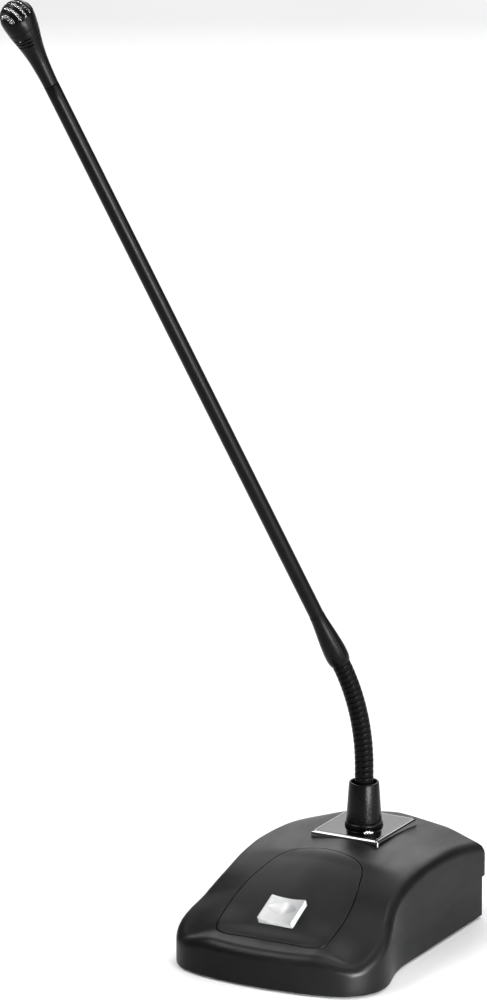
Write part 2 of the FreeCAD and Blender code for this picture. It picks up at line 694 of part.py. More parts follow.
def make_floor():
    """Steel floor plate, ballast, feet and the fasteners under the base."""
    plate_top = PLATE_BOTTOM + PLATE_THICK
    plate = outline_prism(WALL + 0.3, PLATE_BOTTOM, plate_top)
    plate = plate.cut(box((-60, 60), (REAR_WALL_Y - 2.6, 90), (0, 10)))
    plate = plate.cut(box((-11, 11), (57, 90), (0, 10)))
    ballast_spots = [(0, -52), (0, -20)]
    for x, y in BOSSES + ballast_spots:
        plate = plate.cut(Part.makeCone(3.2, 1.6, 1.45, V(x, y, PLATE_BOTTOM - 0.02)))
        plate = plate.cut(rod(1.6, 0, 10, x, y))
    mode_x, mode_y = MODE_SWITCH
    plate = plate.cut(box((mode_x - 3.5, mode_x + 3.5), (mode_y - 1.6, mode_y + 1.6), (0, 10)))
    save(plate, "base_plate")

    spans = BALLAST[0], BALLAST[1], (plate_top, plate_top + BALLAST[2])
    weight = box(*spans)
    upright = [e for e in weight.Edges if vertical(e)]
    weight = weight.makeFillet(5, upright)
    for x, y in ballast_spots:
        weight = weight.cut(rod(1.6, 0, plate_top + 9, x, y))
    save(weight, "ballast_weight")

    feet = [rod(FOOT_R, 0, PLATE_BOTTOM, x, y) for x, y in FEET]
    save(Part.makeCompound(feet), "rubber_feet")
    screws = [cap_screw(x, y, PLATE_BOTTOM, 14, 1.5) for x, y in BOSSES]
    save(Part.makeCompound(screws), "cover_screws")
    screws = [cap_screw(x, y, PLATE_BOTTOM, 11, 1.5) for x, y in ballast_spots]
    save(Part.makeCompound(screws), "ballast_screws")

    switch_box = box((mode_x - 6, mode_x + 6), (mode_y - 3.5, mode_y + 3.5),
                     (plate_top, plate_top + 5))
    switch_box = switch_box.cut(box((mode_x - 4, mode_x + 4), (mode_y - 2, mode_y + 2),
                                    (0, plate_top + 2.5)))
    save(switch_box, "mode_switch")
    knob_x = mode_x - MODE_TRAVEL / 2
    knob = box((knob_x - 1.7, knob_x + 1.7), (mode_y - 1.3, mode_y + 1.3), (1.7, plate_top + 2.2))
    save(knob, "mode_slider")


def make_boards():
    """Main circuit board on its posts."""
    plate_top = PLATE_BOTTOM + PLATE_THICK
    x_span, y_span, low = BOARD
    top = low + BOARD_THICK
    board = box(x_span, y_span, (low, top))
    posts = []
    screws = []
    for x, y in POSTS:
        board = board.cut(rod(1.35, 0, 30, x, y))
        posts.append(rod(2.5, plate_top, low, x, y).cut(rod(1.3, low - 6, low + 1, x, y)))
        screws.append(rod(1.25, low - 4, top, x, y).fuse(rod(2.4, top, top + 1.5, x, y)))
    save(board, "main_board")
    save(Part.makeCompound(posts), "board_posts")
    save(Part.makeCompound(screws), "board_screws")

    parts = [box((-22, -12), (4, 14), (top, top + 1.8)),
             box((8, 20), (2, 12), (top, top + 1.8)),
             box((-9, 9), (21, 26), (top, top + 6)),
             rod(3.1, top, top + 7, 24, 24),
             rod(3.1, top, top + 7, 24, 33),
             rod(2.5, top, top + 5.5, -24, 26)]
    save(Part.makeCompound(parts), "board_components")


os.makedirs("parts", exist_ok=True)
make_housing()
make_button()
make_socket()
make_plug()
make_neck()
make_stem()
make_outlet()
make_floor()
make_boards()
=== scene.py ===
"""Gooseneck desk microphone: its looks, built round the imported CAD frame.

Shapes are worked out in millimetres and become metres as each mesh is made.
"""

import json
import math

import bmesh
import bpy
import numpy as np
from mathutils import Matrix, Vector
from mathutils.bvhtree import BVHTree


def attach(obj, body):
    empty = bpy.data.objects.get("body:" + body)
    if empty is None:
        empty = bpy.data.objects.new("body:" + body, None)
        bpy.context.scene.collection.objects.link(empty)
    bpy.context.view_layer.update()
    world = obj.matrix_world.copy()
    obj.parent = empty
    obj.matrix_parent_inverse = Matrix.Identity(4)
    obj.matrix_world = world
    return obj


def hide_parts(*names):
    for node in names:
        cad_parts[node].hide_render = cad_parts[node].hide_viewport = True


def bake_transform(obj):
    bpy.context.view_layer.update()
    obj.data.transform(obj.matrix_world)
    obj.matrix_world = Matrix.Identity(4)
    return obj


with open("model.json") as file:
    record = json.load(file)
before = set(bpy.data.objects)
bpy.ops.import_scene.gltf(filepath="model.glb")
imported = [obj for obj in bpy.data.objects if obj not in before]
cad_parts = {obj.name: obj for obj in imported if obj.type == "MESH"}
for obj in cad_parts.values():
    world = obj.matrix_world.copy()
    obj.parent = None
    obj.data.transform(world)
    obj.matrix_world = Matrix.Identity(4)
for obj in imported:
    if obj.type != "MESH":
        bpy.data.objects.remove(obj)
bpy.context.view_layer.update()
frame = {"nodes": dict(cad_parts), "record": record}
MM = 0.001

# ---- the CAD's own sizes, in millimetres ------------------------------------
COVER_BOTTOM = 1.0
WALL = 2.4
ROOF = 2.6
REAR_Y = 81.0
REAR_WALL_Y = 76.7
LIP_BOTTOM = 22.0
REAR_CORNER = 1.8
NOSE_OUTLINE = [(0, -77.7), (18, -76.9), (35, -74.3), (47.5, -69.3), (55.5, -60.5),
                (58.1, -49.5), (57.0, -41.5), (54.4, -33), (51.9, -24.5), (50.6, -16.5),
                (50.1, -5), (50.0, 10)]
FLANK_END = (49.1, REAR_Y - REAR_CORNER)
CREST = [(-100, 14), (-77, 19.4), (-73, 20.4), (-65.5, 22.8), (-58.5, 27.4), (-43, 35.5),
         (-24.4, 43.6), (-11, 48.6), (-1, 51.6), (6, 52.2), (17, 52.5), (40, 53.2), (60, 52.2),
         (81, 48.4), (100, 44)]
CREASE_HEIGHT = [(-100, 16), (-66, 16.2), (-61, 18.0), (-55.6, 20.6), (-50, 22.9), (-46, 24.6),
                 (-37, 28.7), (-30.5, 33), (-23.5, 37.2), (-15, 40.8), (-5, 43.8), (4.5, 45.4),
                 (15, 46.4), (26, 46.4), (37, 45.9), (48, 44.8), (59, 43.0), (70, 40.8),
                 (81, 38.4), (100, 35)]
CREASE_X = [(-100, 50), (-62, 51), (-50, 54.5), (-40, 53.5), (-33, 51.5), (-24, 49.2), (-16, 48),
            (0, 47.5), (48, 46.8), (81, 46), (100, 46)]
SHOULDER_DROP = 3.3
DROP_GROWTH = 0.012
COVER_SPINE = (-52.0, 52.0)

PANEL_OUTLINE = [(0, -66.2), (15, -66.2), (26.5, -65.7), (30.4, -63.6), (32.0, -59.0),
                 (32.7, -50.5), (32.5, -40.3), (31.3, -31.7), (29.5, -24.4), (27.4, -17.6),
                 (23.7, -8.6), (19.8, -4.7), (15.3, -2.3), (8.5, -0.8), (0, -0.3)]
PANEL_THICK = 1.6
PANEL_GAP = 0.15
PANEL_SPINE = (-56.0, -8.0)
BUTTON_CENTRE = (0, -49.8, 32.4)
BUTTON_TILT = 25.2
BUTTON_HALF_X = 9.85
BUTTON_HALF_Y = 9.05
BUTTON_PROUD = 2.4
BUTTON_DEPTH = 4.0

SOCKET_Y = 38.8
PLATE_TOP = 53.8
PLATFORM_X = 19.4
PLATFORM_Y = (17.0, 60.5)
PLATFORM_BOTTOM = 44.0
FACE_X = 17.3
FACE_Y = (19.0, 58.5)
FACE_THICK = 1.4
SOCKET_BORE_R = 9.75
LATCH_R = 14.0
LATCH_TURN = 37.0
LATCH_WIDTH = 5.0
LATCH_DEPTH = 1.8
LATCH_FOOT = 43.5
LATCH_PROUD = 0.8
COIL_FOOT = 33.4
COIL_R = 1.1
COIL_WIRE_R = 0.25

SEAT = PLATE_TOP + 0.05
BEAD_R = 9.8
BEAD_THICK = 2.2
CONE_FOOT_R = 9.15
CONE_TOP_R = 7.8
CONE_TOP = 77.0
CUP_R = 6.5
CUP_FLOOR = 70.6

NECK_R = 4.85
NECK_FOOT = 73.0
NECK_STRAIGHT = 11.5
NECK_ARC = 60.0
NECK_LEAN = 26.8
NECK_TURN = 34.5
LINK_COUNT = 11
NECK_LENGTH = NECK_STRAIGHT + NECK_ARC
LINK_PITCH = NECK_LENGTH / LINK_COUNT
TURN_PITCH = 3.07
SKIN_LOW = -5.5
SKIN_HIGH = NECK_LENGTH + 3.4

SLEEVE_FOOT = 0.65
SLEEVE_TOP = 31.0
STEM_R = 3.85
DOME_CENTRE = 399.8
DOME_R = 8.75
HEAD_FOOT = DOME_CENTRE - 39.6
GRILLE_FOOT = DOME_CENTRE - 6.4
HEAD_WALL = 0.9
HEAD_CURVE = [(-6, STEM_R), (0, STEM_R), (6.6, 4.1), (13.6, 4.6), (19.8, 5.4), (25.9, 6.55),
              (30.6, 7.6), (33.2, 8.05)]
SLOT_WIDTH = 1.9
SLOT_PITCH = 3.35
SLOT_TURN = -21.0
VENT_FOOT = DOME_CENTRE - 14.6
VENT_WIDTH = 0.8
VENT_PITCH = 2.05
VENT_ARC = 87.0
VENT_START = -6.0


# ---- curves -----------------------------------------------------------------
def through(knots, at):
    """Monotone cubic curve through (position, value) knots."""
    place, value = np.array(knots, float).T
    slope = np.diff(value) / np.diff(place)
    tangent = np.concatenate([slope[:1], np.zeros(len(slope) - 1), slope[-1:]])
    for i in range(1, len(slope)):
        before, after = slope[i - 1], slope[i]
        if before * after > 0:
            tangent[i] = 2 * before * after / (before + after)
    at = np.clip(at, place[0], place[-1])
    i = np.clip(np.searchsorted(place, at) - 1, 0, len(slope) - 1)
    span = place[i + 1] - place[i]
    t = (at - place[i]) / span
    rise = value[i] * (1 + 2 * t) * (1 - t) ** 2 + value[i + 1] * t * t * (3 - 2 * t)
    return rise + span * (tangent[i] * t * (1 - t) ** 2 + tangent[i + 1] * t * t * (t - 1))


def ease(t):
    """Smooth step from 0 to 1."""
    t = np.clip(t, 0.0, 1.0)
    return t * t * (3 - 2 * t)


def bent(distance, width):
    """Nothing before a bend and the distance beyond it, rounded over the width."""
    t = np.clip((distance + width) / (2 * width), 0.0, 1.0)
    return 2 * width * (t ** 3 - t ** 4 / 2) + np.maximum(distance - width, 0.0)


def smooth_line(points, start, end, per_mm):
    """Points and directions along a smooth curve whose end directions are given."""
    knots = np.array(points, float)
    length = np.linalg.norm(np.diff(knots, axis=0), axis=1)
    count = len(knots)
    system = np.eye(count)
    target = np.zeros((count, 2))
    target[0], target[-1] = start, end
    for i in range(1, count - 1):
        before, after = 1 / length[i - 1], 1 / length[i]
        system[i, i - 1:i + 2] = before, 2 * (before + after), after
        steps = (knots[i] - knots[i - 1]) * before ** 2 + (knots[i + 1] - knots[i]) * after ** 2
        target[i] = 3 * steps
    tangent = np.linalg.solve(system, target)
    line, way = [], []
    for i in range(count - 1):
        a, b, u, v, h = knots[i], knots[i + 1], tangent[i], tangent[i + 1], length[i]
        pieces = max(2, round(h * per_mm))
        for t in np.arange(pieces + (i == count - 2)) / pieces:
            line.append(a * (1 + 2 * t) * (1 - t) ** 2 + b * t * t * (3 - 2 * t)
                        + h * (u * t * (1 - t) ** 2 + v * t * t * (t - 1)))
            way.append((b - a) * 6 * t * (1 - t) / h
                       + u * (1 - t) * (1 - 3 * t) + v * t * (3 * t - 2))
    way = np.array(way)
    return np.array(line), way / np.linalg.norm(way, axis=1)[:, None]


def outward(way):
    """Outward normals of a line that runs anticlockwise in plan."""
    return np.column_stack([way[:, 1], -way[:, 0]])


def both_halves(points, normals):
    """A whole plan outline from its right half, front middle to rear middle."""
    flip = np.array([-1.0, 1.0])
    return (np.concatenate([points, points[-2:0:-1] * flip]),
            np.concatenate([normals, normals[-2:0:-1] * flip]))


def straight(a, b, pieces):
    """Points and normals along a straight run, without its far end."""
    a, b = np.array(a, float), np.array(b, float)
    way = np.tile((b - a) / np.linalg.norm(b - a), (pieces, 1))
    return a + (b - a) * (np.arange(pieces) / pieces)[:, None], outward(way)


def corner(centre, radius, start, end, pieces):
    """Points and normals round a corner, between two angles in degrees."""
    angle = np.radians(start + (end - start) * np.arange(pieces) / pieces)
    normals = np.column_stack([np.cos(angle), np.sin(angle)])
    return np.array(centre) + normals * radius, normals


def joined(parts):
    """One outline half from runs of points and normals."""
    return both_halves(np.concatenate([p for p, _ in parts]),
                       np.concatenate([n for _, n in parts]))


def rounded_rectangle(half_x, y_span, radius, pieces=24):
    """Plan outline of a rectangle with round corners."""
    low, high = y_span
    x = half_x - radius
    end = (np.array([[0.0, high]]), np.array([[0.0, 1.0]]))
    return joined([straight((0, low), (x, low), pieces // 2),
                   corner((x, low + radius), radius, -90, 0, 8),
                   straight((half_x, low + radius), (half_x, high - radius), pieces),
                   corner((x, high - radius), radius, 0, 90, 8),
                   straight((x, high), (0, high), pieces // 2), end])


# ---- meshes -----------------------------------------------------------------
def new_piece(name, vertices, faces, body=None, slot=None, replaced=(), sharp=32.0):
    """A mesh from points in millimetres, smooth except at sharp edges.

    With a body and a slot it is a piece of the object. With neither it is a shape to cut with.
    """
    mesh = bpy.data.meshes.new(name)
    mesh.from_pydata((np.array(vertices) * MM).tolist(), [], faces)
    shape = bmesh.new()
    shape.from_mesh(mesh)
    bmesh.ops.remove_doubles(shape, verts=shape.verts, dist=1e-6)
    bmesh.ops.dissolve_degenerate(shape, edges=shape.edges, dist=1e-7)
    bmesh.ops.recalc_face_normals(shape, faces=shape.faces)
    shape.to_mesh(mesh)
    shape.free()
    mesh.shade_smooth()
    mesh.set_sharp_from_angle(angle=math.radians(sharp))
    piece = bpy.data.objects.new(name, mesh)
    bpy.context.scene.collection.objects.link(piece)
    if slot:
        mesh.materials.append(finishes[slot])
        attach(piece, body)
        if replaced:
            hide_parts(*replaced)
    return piece


def skin_faces(rings, count, around=True):
    """Quads between equal rings of points; around joins the last ring to the first."""
    faces = []
    for k in range(rings if around else rings - 1):
        a, b = k * count, (k + 1) % rings * count
        faces += [(a + i, b + i, b + (i + 1) % count, a + (i + 1) % count)
                  for i in range(count)]
    return faces


def closed_skin(rings):
    """Points and faces of a skin whose first and last rings are folded shut."""
    return np.concatenate(rings), skin_faces(len(rings), len(rings[0]), False)


def turned(profile, count=96):
    """Points and faces of a closed (radius, height) outline turned about Z."""
    angle = np.arange(count) * 2 * math.pi / count
    rings = [np.column_stack([r * np.cos(angle), r * np.sin(angle), np.full(count, h)])
             for r, h in profile]
    return np.concatenate(rings), skin_faces(len(rings), count)


def softened(profile, radius, steps=3):
    """A closed (radius, height) outline with its corners rounded."""
    points = [np.array(p, float) for p in profile]
    out = []
    for i, here in enumerate(points):
        before, after = points[i - 1], points[(i + 1) % len(points)]
        back, ahead = before - here, after - here
        lengths = np.linalg.norm(back), np.linalg.norm(ahead)
        turn = math.pi - math.acos(np.clip(back @ ahead / (lengths[0] * lengths[1]), -1, 1))
        if turn < math.radians(20) or here[0] < 1e-6:
            out.append(here)
            continue
        reach = min(radius * math.tan(min(turn, 2.4) / 2), 0.45 * min(lengths))
        start = here + back / lengths[0] * reach
        end = here + ahead / lengths[1] * reach
        for t in np.arange(steps + 1) / steps:
            out.append(start * (1 - t) ** 2 + here * 2 * t * (1 - t) + end * t * t)
    return out


def drawn_in(outline, inset):
    """Plan points of an outline drawn in by an inset, in its own way if it has one."""
    points, normals, *own_way = outline
    if own_way:
        return own_way[0](points, normals, inset)
    return points - normals * np.reshape(inset, (-1, 1))


def raised(plan, height):
    """Plan points at a height, which is one number or follows x and y."""
    level = height(*plan.T) if callable(height) else np.full(len(plan), height)
    return np.column_stack([plan, level])


def ring(outline, inset, height):
    """A loop of points at an inset from a plan outline."""
    return raised(drawn_in(outline, inset), height)


def ring_inside(outline, inset, share, spine, height):
    """A loop part of the way from an inset outline to a line along the middle."""
    edge = drawn_in(outline, inset)
    y = outline[0][:, 1]
    along = (y - y.min()) / (y.max() - y.min())
    middle = np.column_stack([np.zeros(len(y)), spine[0] + (spine[1] - spine[0]) * along])
    return raised(edge * (1 - share) + middle * share, height)


def filling(outline, inset, spine, height, steps):
    """Loops from the line along the middle out to just short of an inset outline."""
    return [ring_inside(outline, inset, share, spine, height)
            for share in 1 - np.arange(steps) / steps]


def rounded_edge(outline, start, radius, height, steps):
    """Loops over a rounded edge, from the top out and down to the side."""
    rings = []
    for angle in np.radians(np.linspace(90, 0, steps)):
        edge = ring(outline, start + radius * (1 - math.cos(angle)), height)
        edge[:, 2] -= radius * (1 - math.sin(angle))
        rings.append(edge)
    return rings


def wire(line, first, second, radius, sides):
    """Loops round a line, given the two directions across it at each of its points."""
    angle = (np.arange(sides) * 2 * math.pi / sides)[:, None]
    return [point + radius * (a * np.cos(angle) + b * np.sin(angle))
            for point, a, b in zip(line, first, second)]


def lengths_made_one(vectors):
    """The same directions, each one unit long."""
    return vectors / np.linalg.norm(vectors, axis=1)[:, None]


def carve(piece, *cutters):
    """Cut shapes out of a piece, and drop the shapes."""
    for cutter in cutters:
        change = piece.modifiers.new("cut", "BOOLEAN")
        change.operation = "DIFFERENCE"
        change.solver = "EXACT"
        change.object = cutter
        settle(piece)
        spare = cutter.data
        bpy.data.objects.remove(cutter)
        bpy.data.meshes.remove(spare)


def settle(piece):
    """Make a piece's modifiers part of its mesh."""
    graph = bpy.context.evaluated_depsgraph_get()
    graph.update()
    mesh = bpy.data.meshes.new_from_object(piece.evaluated_get(graph))
    piece.modifiers.clear()
    spare = piece.data
    name = spare.name
    piece.data = mesh
    bpy.data.meshes.remove(spare)
    mesh.name = name


def surface_of(piece):
    """The surface of a piece as it is now, with its smooth normals."""
    mesh = piece.data
    points = [v.co.copy() for v in mesh.vertices]
    corners = [tuple(p.vertices) for p in mesh.polygons]
    normals = [v.normal.copy() for v in mesh.vertices]
    return BVHTree.FromPolygons(points, corners), points, corners, normals


def keep_shading(piece, source, sharp=32.0):
    """Shade what is left of the source surface as smoothly as it was before a cut."""
    tree, points, corners, normals = source
    mesh = piece.data
    mesh.shade_smooth()
    mesh.set_sharp_from_angle(angle=math.radians(sharp))
    loops = [Vector(n.vector) for n in mesh.corner_normals]
    near = {}
    for polygon in mesh.polygons:
        where, normal, index, distance = tree.find_nearest(polygon.center)
        if distance > 2e-6 or normal.dot(polygon.normal) < 0.97:
            continue
        for loop in polygon.loop_indices:
            v = mesh.loops[loop].vertex_index
            if v not in near:
                spot, _, face, _ = tree.find_nearest(mesh.vertices[v].co)
                weights = [1 / ((points[c] - spot).length + 1e-9) for c in corners[face]]
                blend = Vector((0, 0, 0))
                for weight, c in zip(weights, corners[face]):
                    blend += normals[c] * weight
                near[v] = blend.normalized()
            if near[v].dot(polygon.normal) > 0.8:
                loops[loop] = near[v]
    mesh.normals_split_custom_set(loops)


# ---- finishes ---------------------------------------------------------------
class Recipe:
    """Nodes of one material, in the piece's own space in metres."""

    def __init__(self, name):
        self.material = bpy.data.materials.new(name)
        self.material.use_nodes = True
        self.tree = self.material.node_tree
        self.tree.nodes.clear()
        self.shader = self.add("ShaderNodeBsdfPrincipled")
        output = self.add("ShaderNodeOutputMaterial")
        self.link(self.shader.outputs[0], output.inputs["Surface"])
        self.place = self.add("ShaderNodeTexCoord").outputs["Object"]

    def add(self, kind, **settings):
        node = self.tree.nodes.new(kind)
        for key, value in settings.items():
            setattr(node, key, value)
        return node

    def link(self, start, end):
        self.tree.links.new(start, end)

    def stretched(self, scale, turn=(0, 0, 0)):
        """The piece's space, scaled and turned, for brushed or wound marks."""
        node = self.add("ShaderNodeMapping")
        node.inputs["Scale"].default_value = scale
        node.inputs["Rotation"].default_value = [math.radians(a) for a in turn]
        self.link(self.place, node.inputs["Vector"])
        return node.outputs[0]

    def noise(self, scale, detail=2.0, rough=0.5, space=None):
        node = self.add("ShaderNodeTexNoise")
        node.inputs["Scale"].default_value = scale
        node.inputs["Detail"].default_value = detail
        node.inputs["Roughness"].default_value = rough
        self.link(space or self.place, node.inputs["Vector"])
        return node.outputs["Fac"]

    def cells(self, scale, feature="F1", space=None):
        node = self.add("ShaderNodeTexVoronoi", feature=feature)
        node.inputs["Scale"].default_value = scale
        self.link(space or self.place, node.inputs["Vector"])
        return node.outputs["Distance"]

    def ranged(self, value, low, high, from_low=0.3, from_high=0.7):
        node = self.add("ShaderNodeMapRange", clamp=True)
        for key, number in (("From Min", from_low), ("From Max", from_high),
                            ("To Min", low), ("To Max", high)):
            node.inputs[key].default_value = number
        self.link(value, node.inputs["Value"])
        return node.outputs[0]

    def colour(self, first, second, share):
        """A base colour between two colours, by a share from 0 to 1."""
        node = self.add("ShaderNodeMix", data_type="RGBA")
        factor, start, end, result = 0, 6, 7, 2
        node.inputs[start].default_value = (*first, 1.0)
        node.inputs[end].default_value = (*second, 1.0)
        self.link(share, node.inputs[factor])
        self.link(node.outputs[result], self.shader.inputs["Base Color"])

    def bumped(self, *layers):
        """Surface relief from (height, depth in metres, strength) layers."""
        last = None
        for height, depth, strength in layers:
            node = self.add("ShaderNodeBump")
            node.inputs["Distance"].default_value = depth
            node.inputs["Strength"].default_value = strength
            self.link(height, node.inputs["Height"])
            if last:
                self.link(last, node.inputs["Normal"])
            last = node.outputs[0]
        self.link(last, self.shader.inputs["Normal"])

    def rough(self, value):
        self.link(value, self.shader.inputs["Roughness"])

    def fixed(self, **settings):
        """Numbers that are the same all over the surface."""
        names = {"metal": "Metallic", "level": "Specular IOR Level", "coat": "Coat Weight",
                 "coat_rough": "Coat Roughness", "inside": "Subsurface Weight",
                 "inside_scale": "Subsurface Scale", "sheen": "Sheen Weight"}
        for key, value in settings.items():
            self.shader.inputs[names[key]].default_value = value


def grey(value, warm=0.0):
    """A nearly neutral colour, a touch warm or cool."""
    return (value * (1 + warm), value, value * (1 - warm))


def moulded(name, tone, rough, level, grain, depth, spread=0.05):
    """Moulded plastic: fine spark-eroded grain, faint flow marks and handling sheen."""
    m = Recipe(name)
    flow = m.noise(35, 3)
    wipe = m.noise(110, 4, 0.6, m.stretched((1.0, 0.35, 1.0), (0, 0, 25)))
    m.colour(grey(tone * 0.82, -0.02), grey(tone * 1.22, -0.01), m.ranged(flow, 0, 1))
    m.rough(m.ranged(wipe, rough - spread, rough + spread))
    m.bumped((m.cells(grain, "SMOOTH_F1"), depth, 0.5),
             (m.noise(grain * 2.3, 3), depth * 0.7, 0.5),
             (m.noise(160, 1), 0.00004, 0.25))
    m.fixed(level=level)
    return m.material


def metal(name, tone, rough, grain, brushing, depth, warm=0.0, spread=0.06):
    """Bare or plated metal with fine directional marks and small tone changes."""
    m = Recipe(name)
    marks = m.noise(grain, 4, 0.65, m.stretched(brushing))
    tint = m.noise(60, 3)
    m.colour(grey(tone * 0.9, warm), grey(min(tone * 1.08, 1.0), warm), m.ranged(tint, 0, 1))
    m.rough(m.ranged(marks, max(rough - spread, 0.02), rough + spread))
    m.bumped((marks, depth, 0.6), (m.noise(250, 2), 0.00001, 0.3))
    m.fixed(metal=1.0)
    return m.material


def painted(name, tone, rough, level, orange_peel, depth):
    """Powder paint over metal: orange peel, pin-prick speckle and rubbed patches."""
    m = Recipe(name)
    peel = m.noise(orange_peel, 2)
    speckle = m.noise(orange_peel * 3.5, 1)
    rubbed = m.noise(45, 4, 0.65)
    m.colour(grey(tone * 0.85), grey(tone * 1.25), m.ranged(speckle, 0, 1, 0.42, 0.62))
    m.rough(m.ranged(rubbed, rough - 0.05, rough + 0.05))
    m.bumped((peel, depth, 0.55), (speckle, depth * 0.4, 0.4))
    m.fixed(level=level)
    return m.material


def button_resin():
    """Milky translucent resin, slightly frosted."""
    m = Recipe("button_resin")
    m.colour((0.25, 0.253, 0.256), (0.26, 0.262, 0.264), m.ranged(m.noise(220, 3), 0, 1))
    m.rough(m.ranged(m.noise(420, 3), 0.16, 0.2))
    m.bumped((m.noise(3600, 2), 0.000008, 0.5), (m.noise(260, 1), 0.00001, 0.2))
    m.fixed(inside=0.25, inside_scale=0.0008, level=0.5)
    m.shader.inputs["Subsurface Radius"].default_value = (1.0, 1.0, 1.0)
    return m.material


def foam():
    """Open-cell foam, with painted shade in its pores."""
    m = Recipe("foam")
    pores_and_painted_shade = m.cells(1900)
    # pore centres, where the relief dips, are painted darker: painted shade in the pores
    m.colour(grey(0.006), grey(0.05), m.ranged(pores_and_painted_shade, 0, 1, 0.1, 0.6))
    m.rough(m.ranged(m.noise(900, 3), 0.85, 1.0))
    m.bumped((pores_and_painted_shade, 0.0004, 0.9), (m.noise(2500, 3), 0.0002, 0.6))
    m.fixed(level=0.1, sheen=0.2)
    return m.material


def rubber():
    """Soft rubber with a dusty bloom."""
    m = Recipe("rubber")
    bloom = m.noise(320, 5, 0.7)
    m.colour(grey(0.012), grey(0.0264, 0.02), m.ranged(bloom, 0, 1, 0.45, 0.75))
    m.rough(m.ranged(m.noise(700, 3), 0.62, 0.8))
    m.bumped((m.noise(2600, 3), 0.00003, 0.6), (m.cells(900), 0.00002, 0.4))
    m.fixed(level=0.25)
    return m.material


def circuit_board():
    """Green solder mask with a faint pattern of tracks under it."""
    m = Recipe("circuit_board")
    tracks = m.cells(420, "DISTANCE_TO_EDGE", m.stretched((1, 1, 0.01)))
    share = m.ranged(tracks, 1, 0, 0.02, 0.05)
    m.colour((0.004, 0.055, 0.022), (0.012, 0.13, 0.045), share)
    m.rough(m.ranged(m.noise(500, 2), 0.22, 0.36))
    m.bumped((share, 0.00003, 0.6), (m.noise(3000, 2), 0.000006, 0.5))
    return m.material


def lamp_resin():
    """Clear amber-white lamp resin."""
    m = Recipe("lamp_resin")
    m.colour((0.62, 0.58, 0.45), (0.8, 0.77, 0.66), m.ranged(m.noise(700, 2), 0, 1))
    m.rough(m.ranged(m.noise(500, 2), 0.08, 0.2))
    m.bumped((m.noise(1500, 1), 0.00001, 0.4))
    m.fixed(inside=0.4, inside_scale=0.001, coat=0.3, coat_rough=0.05)
    return m.material


finishes = {
    "cover_plastic": moulded("cover_moulding", 0.0025, 0.37, 0.085, 3300, 0.00003),
    "panel_plastic": moulded("panel_moulding", 0.0025, 0.38, 0.09, 4200, 0.000022),
    "button_plastic": button_resin(),
    "inner_plastic": moulded("inner_moulding", 0.02, 0.5, 0.35, 2500, 0.00003),
    "mode_plastic": moulded("slider_moulding", 0.55, 0.4, 0.4, 3000, 0.00002),
    "board": circuit_board(),
    "led": lamp_resin(),
    "components": moulded("component_moulding", 0.03, 0.42, 0.4, 2600, 0.00002),
    "polished_plate": metal("polished_plate", 0.11, 0.12, 700, (1, 14, 1), 0.0000012, 0.0, 0.03),
    "contact_metal": metal("contact_silver", 0.78, 0.18, 1500, (1, 1, 0.1), 0.000003, 0.03),
    "lead_insulation": moulded("lead_insulation", 0.06, 0.45, 0.35, 2600, 0.00002),
    "bright_metal": metal("bright_nickel", 0.8, 0.16, 1600, (1, 1, 6), 0.000004, 0.01),
    "spring_steel": metal("spring_steel", 0.55, 0.28, 1400, (1, 1, 1), 0.000004),
    "rear_plastic": moulded("rear_moulding", 0.014, 0.45, 0.3, 3000, 0.00003),
    "black_metal": painted("black_plating", 0.012, 0.32, 0.5, 1500, 0.000012),
    "screw_steel": metal("screw_steel", 0.32, 0.3, 1300, (1, 1, 1), 0.000006, 0.01),
    "painted_steel": painted("painted_steel", 0.018, 0.5, 0.35, 1100, 0.00003),
    "ballast_iron": metal("ballast_iron", 0.2, 0.6, 500, (1, 1, 1), 0.00004, 0.02),
    "rubber": rubber(),
    "cone_plastic": moulded("cone_moulding", 0.0025, 0.27, 0.1, 5200, 0.000008, 0.04),
    "neck_metal": painted("neck_blacking", 0.0025, 0.26, 0.05, 1700, 0.000012),
    "stem_paint": painted("stem_paint", 0.0025, 0.26, 0.08, 1300, 0.000016),
    "mesh_metal": metal("mesh_wire", 0.85, 0.22, 3000, (1, 1, 1), 0.000003, 0.01),
    "foam": foam(),
    "capsule_metal": metal("capsule_shell", 0.6, 0.3, 1500, (1, 1, 8), 0.000004, 0.02),
}


def dress_the_frame():
    """Give every CAD node the finish of its own material slot."""
    slot_of = {part["node"]: part["material_slot"] for part in frame["record"]["subparts"]}
    for name, node in frame["nodes"].items():
        node.data.materials.clear()
        node.data.materials.append(finishes[slot_of[name]])


# ---- base housing -----------------------------------------------------------
def roof_height(x, y):
    """Height of the housing's top surface."""
    side = np.abs(x)
    crest = through(CREST, y)
    crease_z = through(CREASE_HEIGHT, y)
    crease_x = through(CREASE_X, y)
    shoulder_x = 28.5 + 3.0 * ((y - 25.0) / 100.0) ** 2
    drop = SHOULDER_DROP + DROP_GROWTH * y
    inner = drop / shoulder_x
    outer = (crest - drop - crease_z) / (crease_x - shoulder_x)
    top_round = 5.0
    hump = crest - inner * (np.sqrt(side ** 2 + top_round ** 2) - top_round)
    hump = hump - (outer - inner) * bent(side - shoulder_x, top_round)
    scoop_start, scoop_width = 27.0, 24.0
    scoop = crest - (crest - crease_z) * ease((side - scoop_start) / scoop_width)
    nose_start, nose_length = -46.0, 24.0
    nose = ease((nose_start - y) / nose_length)
    return hump * (1 - nose) + scoop * nose


def below_roof(depth):
    """A surface that follows the top of the housing from below."""
    return lambda x, y: roof_height(x, y) - depth


def cover_outline():
    """Plan outline of the base."""
    line, way = smooth_line(NOSE_OUTLINE, (1, 0), (0, 1), 0.8)
    x, y = FLANK_END
    inner_x = x - REAR_CORNER
    end = (np.array([[0.0, REAR_Y]]), np.array([[0.0, 1.0]]))
    return *joined([(line[:-1], outward(way[:-1])), straight(NOSE_OUTLINE[-1], FLANK_END, 34),
                    corner((inner_x, y), REAR_CORNER, 0, 90, 14),
                    straight((inner_x, REAR_Y), (0, REAR_Y), 26), end]), within_the_walls


